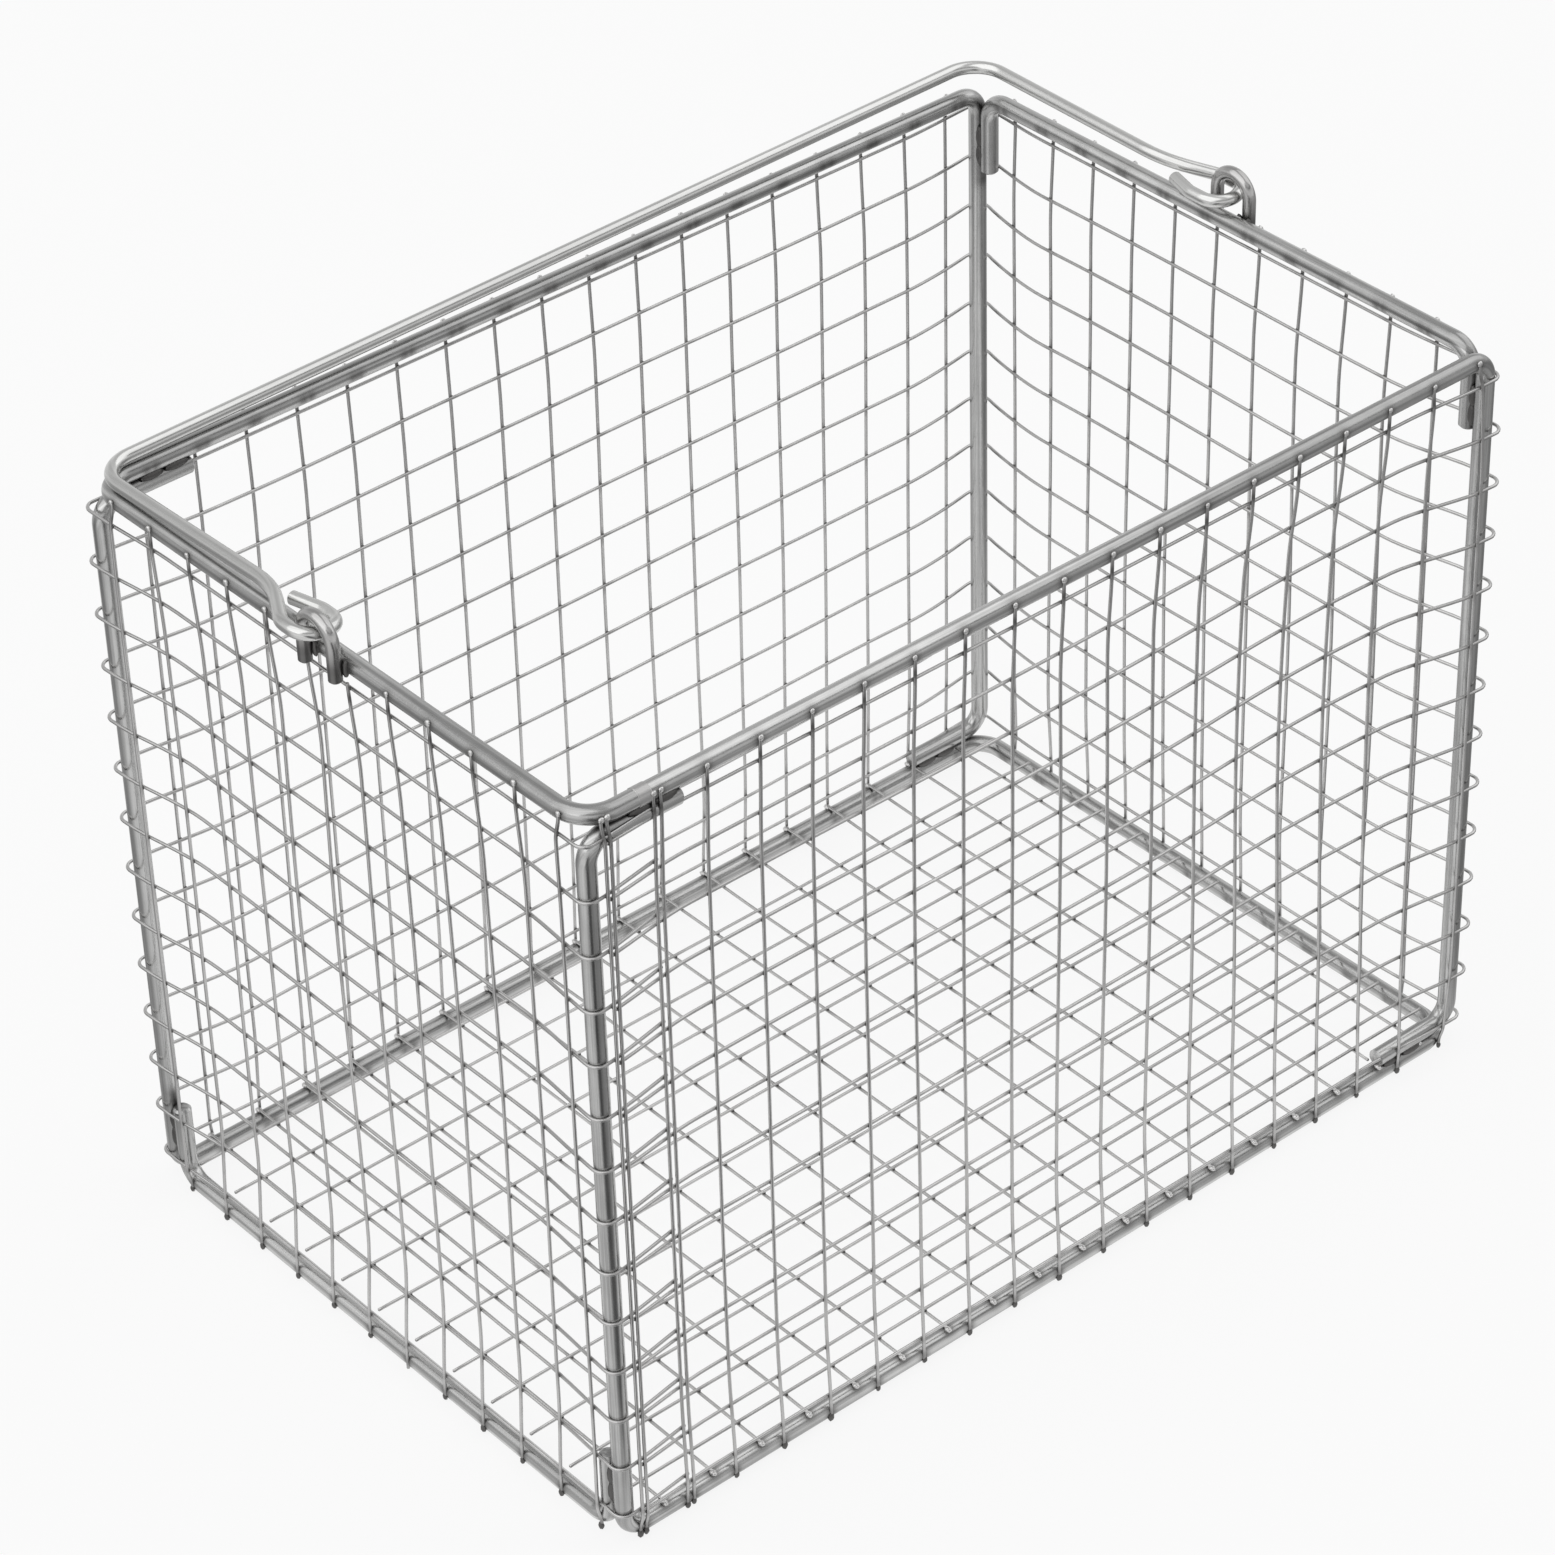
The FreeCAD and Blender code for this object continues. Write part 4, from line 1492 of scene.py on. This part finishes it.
@dataclass(frozen=True)
class FrameWelds:
    """Weld metal between the wires of the frame.

    Args:
        outline: Sizes of the frame.
        post_patch, leg_patch: Patch between a leg and a post, and between a leg and a rail.
        post_reaches, leg_reaches: How far along the legs the patches lie.
        beside: How far a patch lies beside the seam.
        butt_half, butt_swell, butt_sections: Half length of the butt weld, how much it is
            thicker than the wire, and its number of sections.
        butt_heat: How much the butt weld is darkened.
        sides: Points round the butt weld.
    """

    outline: FrameSizes
    post_patch: Lump = Lump((2.6, 1.0, 0.75))
    leg_patch: Lump = Lump((2.8, 0.75, 1.0))
    post_reaches: tuple[float, float] = (10.0, 14.5)
    leg_reaches: tuple[float, float] = (12.0, 18.0)
    beside: float = 1.15
    butt_half: float = 1.6
    butt_swell: float = 0.13
    butt_sections: int = 13
    butt_heat: float = 0.35
    sides: int = 28

    def post_welds(self) -> Surface:
        """Returns: patches between the staples' legs and the posts."""
        size = self.outline
        y = size.post_y - size.radius
        centres = [
            (side_x * size.post_x + face * self.beside, side_y * y, z + way * reach)
            for side_y in (-1, 1)
            for side_x, z, way in ((1, size.rim_z, -1), (-1, size.base_z, 1))
            for reach in self.post_reaches
            for face in (-1, 1)
        ]
        return self.post_patch.at(centres, Z, Y, SEED + 60)

    def leg_welds(self) -> Surface:
        """Returns: patches between the short legs and the rails beside them."""
        size = self.outline
        centres = [
            (side_x * (size.post_x - reach), side_y * size.post_y + face * self.beside, z)
            for side_y in (-1, 1)
            for side_x, z in ((-1, size.rim_z - size.radius), (1, size.base_z + size.radius))
            for reach in self.leg_reaches
            for face in (-1, 1)
        ]
        return self.leg_patch.at(centres, X, Y, SEED + 61)

    def butt_weld(self) -> Surface:
        """Returns: the slightly swollen ring where the rim's two ends meet."""
        size = self.outline
        middle = np.array((-size.post_x + size.butt_from_post, -size.post_y, size.rim_z))
        path = middle + np.linspace(-self.butt_half, self.butt_half, self.butt_sections)[:, None] * X
        ring = swept_wire(path, size.radius + self.butt_swell, self.sides, self.butt_swell)
        ring.heat[:] = self.butt_heat
        return ring

    def build(self) -> None:
        """Draws the welds."""
        weld = Look(WELD_FINISH.material("frame_weld_steel"), Slot.FRAME)
        weld.draw("frame_welds", joined([self.post_welds(), self.leg_welds(), self.butt_weld()]))


# Studio


@dataclass(frozen=True)
class Softbox:
    """A square soft lamp; lengths in metres.

    Args:
        place: Where it stands.
        edge: Length of its side.
        watts: Its power.
        aim: Where it points.
    """

    place: Point
    edge: float
    watts: float
    aim: Point = (0.0, 0.0, 0.1)

    def build(self, name: str) -> None:
        """Args: name: name of the lamp. Makes the lamp."""
        lamp = bpy.data.lights.new(name, "AREA")
        lamp.energy = self.watts
        lamp.size = self.edge
        made = bpy.data.objects.new(name, lamp)
        made.location = self.place
        aim = Vector(self.aim) - Vector(self.place)
        made.rotation_euler = aim.to_track_quat("-Z", "Y").to_euler()
        bpy.context.scene.collection.objects.link(made)


@dataclass(frozen=True)
class Studio:
    """White floor, plain surroundings, soft lamps and the camera; lengths in metres.

    The steel sees painted light and shade on the floor: white round the object and far off, and
    greyer between, with a painted shadow strip where the photographer stands; the room leaves a dark gap
    between the soft lamps in front.

    Args:
        floor_half: Half the side of the floor.
        floor_grey: Colour of the floor.
        glossy_share, camera_share: Share of the floor's own light that the steel and the camera see.
        room_level: Level of the room's light.
        floor_shade_by_distance: Painted light and shade on the floor by distance from the middle, as the
            steel sees it.
        strip_start: Distances from the middle between which the painted shade by direction sets in.
        floor_shade_by_turn: Painted shade on the floor by direction, from -X and counter-clockwise, in
            turns; its darkest strip is a painted shadow where the photographer stands.
        room_levels: Level of the room by height of the direction.
        gap_levels: Share that the gap between the lamps leaves, by height of the direction.
        gap_front: Y of the directions between which the gap sets in.
        lens: Focal length for a sensor 36 mm wide.
        camera_place: Where the camera stands.
        camera_right, camera_down, camera_ahead: Its own directions.
    """

    floor_half: float = 6.0
    floor_grey: float = 0.82
    glossy_share: float = 0.9
    camera_share: float = 0.86
    room_level: float = 0.55
    floor_shade_by_distance: Levels = ((0.0, 0.95), (0.13, 0.95), (0.2, 0.85), (0.45, 0.8), (0.75, 0.95), (1.0, 0.95))
    strip_start: tuple[float, float] = (0.13, 0.17)
    floor_shade_by_turn: Levels = (
        (0.0, 1.0), (0.05, 1.0), (0.095, 1.0), (0.125, 0.06), (0.155, 0.06), (0.185, 0.5), (0.30, 0.5),
        (0.40, 0.36), (0.50, 0.36), (0.58, 0.9), (0.78, 0.9), (0.86, 0.38), (0.92, 0.38), (1.0, 1.0),
    )
    room_levels: Levels = ((0.0, 0.75), (0.2, 0.78), (0.45, 0.62), (0.7, 0.60), (1.0, 0.60))
    gap_levels: Levels = ((0.0, 1.0), (0.42, 1.0), (0.50, 0.3), (0.55, 0.3), (0.62, 1.0), (1.0, 1.0))
    gap_front: tuple[float, float] = (-0.35, -0.6)
    lens: float = 121.91
    camera_place: Point = (-0.5751, -0.6834, 0.7361)
    camera_right: Point = (0.75789, -0.65188, -0.02554)
    camera_down: Point = (-0.39854, -0.43165, -0.80922)
    camera_ahead: Point = (0.51649, 0.62348, -0.58695)

    @staticmethod
    def ramp(tree: Tree, value: Socket, levels: Levels) -> Socket:
        """Args: tree, value, levels: positions and greys in order. Returns: the grey at the value."""
        ramp = add_node(tree, "ValToRGB", {0: value})
        steps = ramp.color_ramp.elements
        while len(steps) < len(levels):
            steps.new(0.5)
        for step, (position, level) in zip(steps, levels):
            step.position = position
            step.color = (level, level, level, 1.0)
        return ramp.outputs[0]

    def painted_floor_shade(self, tree: Tree) -> Socket:
        """Args: tree: the floor's nodes. Returns: the floor's painted light and shade as the steel sees it.
        """
        place = add_node(tree, "TexCoord").outputs["Object"]
        distance = add_node(tree, "VectorMath", {0: place}, operation="LENGTH").outputs["Value"]
        turn = add_node(tree, "TexGradient", {0: place}, gradient_type="RADIAL").outputs["Fac"]
        outside = remapped(tree, distance, self.strip_start, (0.0, 1.0))
        by_distance = self.ramp(tree, distance, self.floor_shade_by_distance)
        return mixed(tree, outside, by_distance, self.ramp(tree, turn, self.floor_shade_by_turn), "MULTIPLY")

    def floor(self) -> None:
        """Makes the floor: white to the camera, with the object's shadow kept, and painted light and shade
        to the steel.
        """
        half = self.floor_half
        corners = [(-half, -half, 0), (half, -half, 0), (half, half, 0), (-half, half, 0)]
        mesh = bpy.data.meshes.new("studio_floor")
        mesh.from_pydata(corners, [], [(0, 1, 2, 3)])
        made = bpy.data.objects.new("studio_floor", mesh)
        bpy.context.scene.collection.objects.link(made)
        material = bpy.data.materials.new("floor_white")
        material.use_nodes = True
        tree = material.node_tree
        shader = tree.nodes["Principled BSDF"]
        base = (self.floor_grey,) * 3 + (1.0,)
        feed(tree, shader, {"Base Color": base, "Roughness": 0.9, "Specular IOR Level": 0.0})
        path = add_node(tree, "LightPath")
        seen = shader.outputs[0]
        # Glossy rays see the floor's painted light and shade; camera rays see it white.
        for ray, share, tone in (
            ("Is Glossy Ray", self.glossy_share, self.painted_floor_shade(tree)),
            ("Is Camera Ray", self.camera_share, WHITE),
        ):
            glow = add_node(tree, "Emission", {"Color": tone}).outputs[0]
            inputs = {0: product(tree, path.outputs[ray], share), 1: seen, 2: glow}
            seen = add_node(tree, "MixShader", inputs).outputs[0]
        feed(tree, tree.nodes["Material Output"], {"Surface": seen})
        mesh.materials.append(material)

    def surroundings(self) -> None:
        """Makes the room: white to the camera, soft steps of grey to the steel."""
        world = bpy.data.worlds.new("studio")
        bpy.context.scene.world = world
        world.use_nodes = True
        tree = world.node_tree
        direction = add_node(tree, "TexCoord").outputs["Generated"]
        split = add_node(tree, "SeparateXYZ", {0: direction}).outputs
        room = self.ramp(tree, split["Z"], self.room_levels)
        gap = self.ramp(tree, split["Z"], self.gap_levels)
        in_front = remapped(tree, split["Y"], self.gap_front, (0.0, 1.0))
        path = add_node(tree, "LightPath").outputs
        plain = (self.room_level,) * 3 + (1.0,)
        seen = mixed(tree, path["Is Glossy Ray"], plain, mixed(tree, in_front, room, gap, "MULTIPLY"))
        seen = mixed(tree, path["Is Camera Ray"], seen, WHITE)
        feed(tree, tree.nodes["Background"], {"Color": seen})

    def camera(self) -> None:
        """Makes the camera at the angle and distance of the view."""
        data = bpy.data.cameras.new("view_camera")
        data.lens = self.lens
        data.sensor_width = 36.0
        data.clip_start = 0.05
        data.clip_end = 50.0
        made = bpy.data.objects.new("view_camera", data)
        axes = (Vector(self.camera_right), -Vector(self.camera_down), -Vector(self.camera_ahead))
        made.matrix_world = Matrix.Translation(self.camera_place) @ Matrix(axes).transposed().to_4x4()
        bpy.context.scene.collection.objects.link(made)
        bpy.context.scene.camera = made

    def build(self) -> None:
        """Makes the whole studio."""
        self.floor()
        self.surroundings()
        Softbox((-1.6, 0.2, 2.2), 3.6, 32.0).build("left_softbox")
        Softbox((2.2, -0.4, 2.4), 3.4, 24.0).build("right_softbox")
        self.camera()
        bpy.context.scene.view_settings.view_transform = "Standard"


def main() -> None:
    """Builds the object's looks and the studio, in order."""
    logging.basicConfig(level=logging.INFO, format="%(message)s")
    outline = FrameSizes.from_model()
    mesh = MeshSizes.from_model()
    places = WallPlaces.from_sizes(outline, mesh)
    bail = BailSizes()
    wander = MeshWander(outline)
    FrameWires(outline, places, wander).build()
    SideMesh(outline, mesh, places, bail, wander).build()
    FloorMesh(outline, mesh, places).build()
    BailAndEars(outline, bail).build()
    FrameWelds(outline).build()
    Studio().build()


if __name__ == "__main__":
    main()
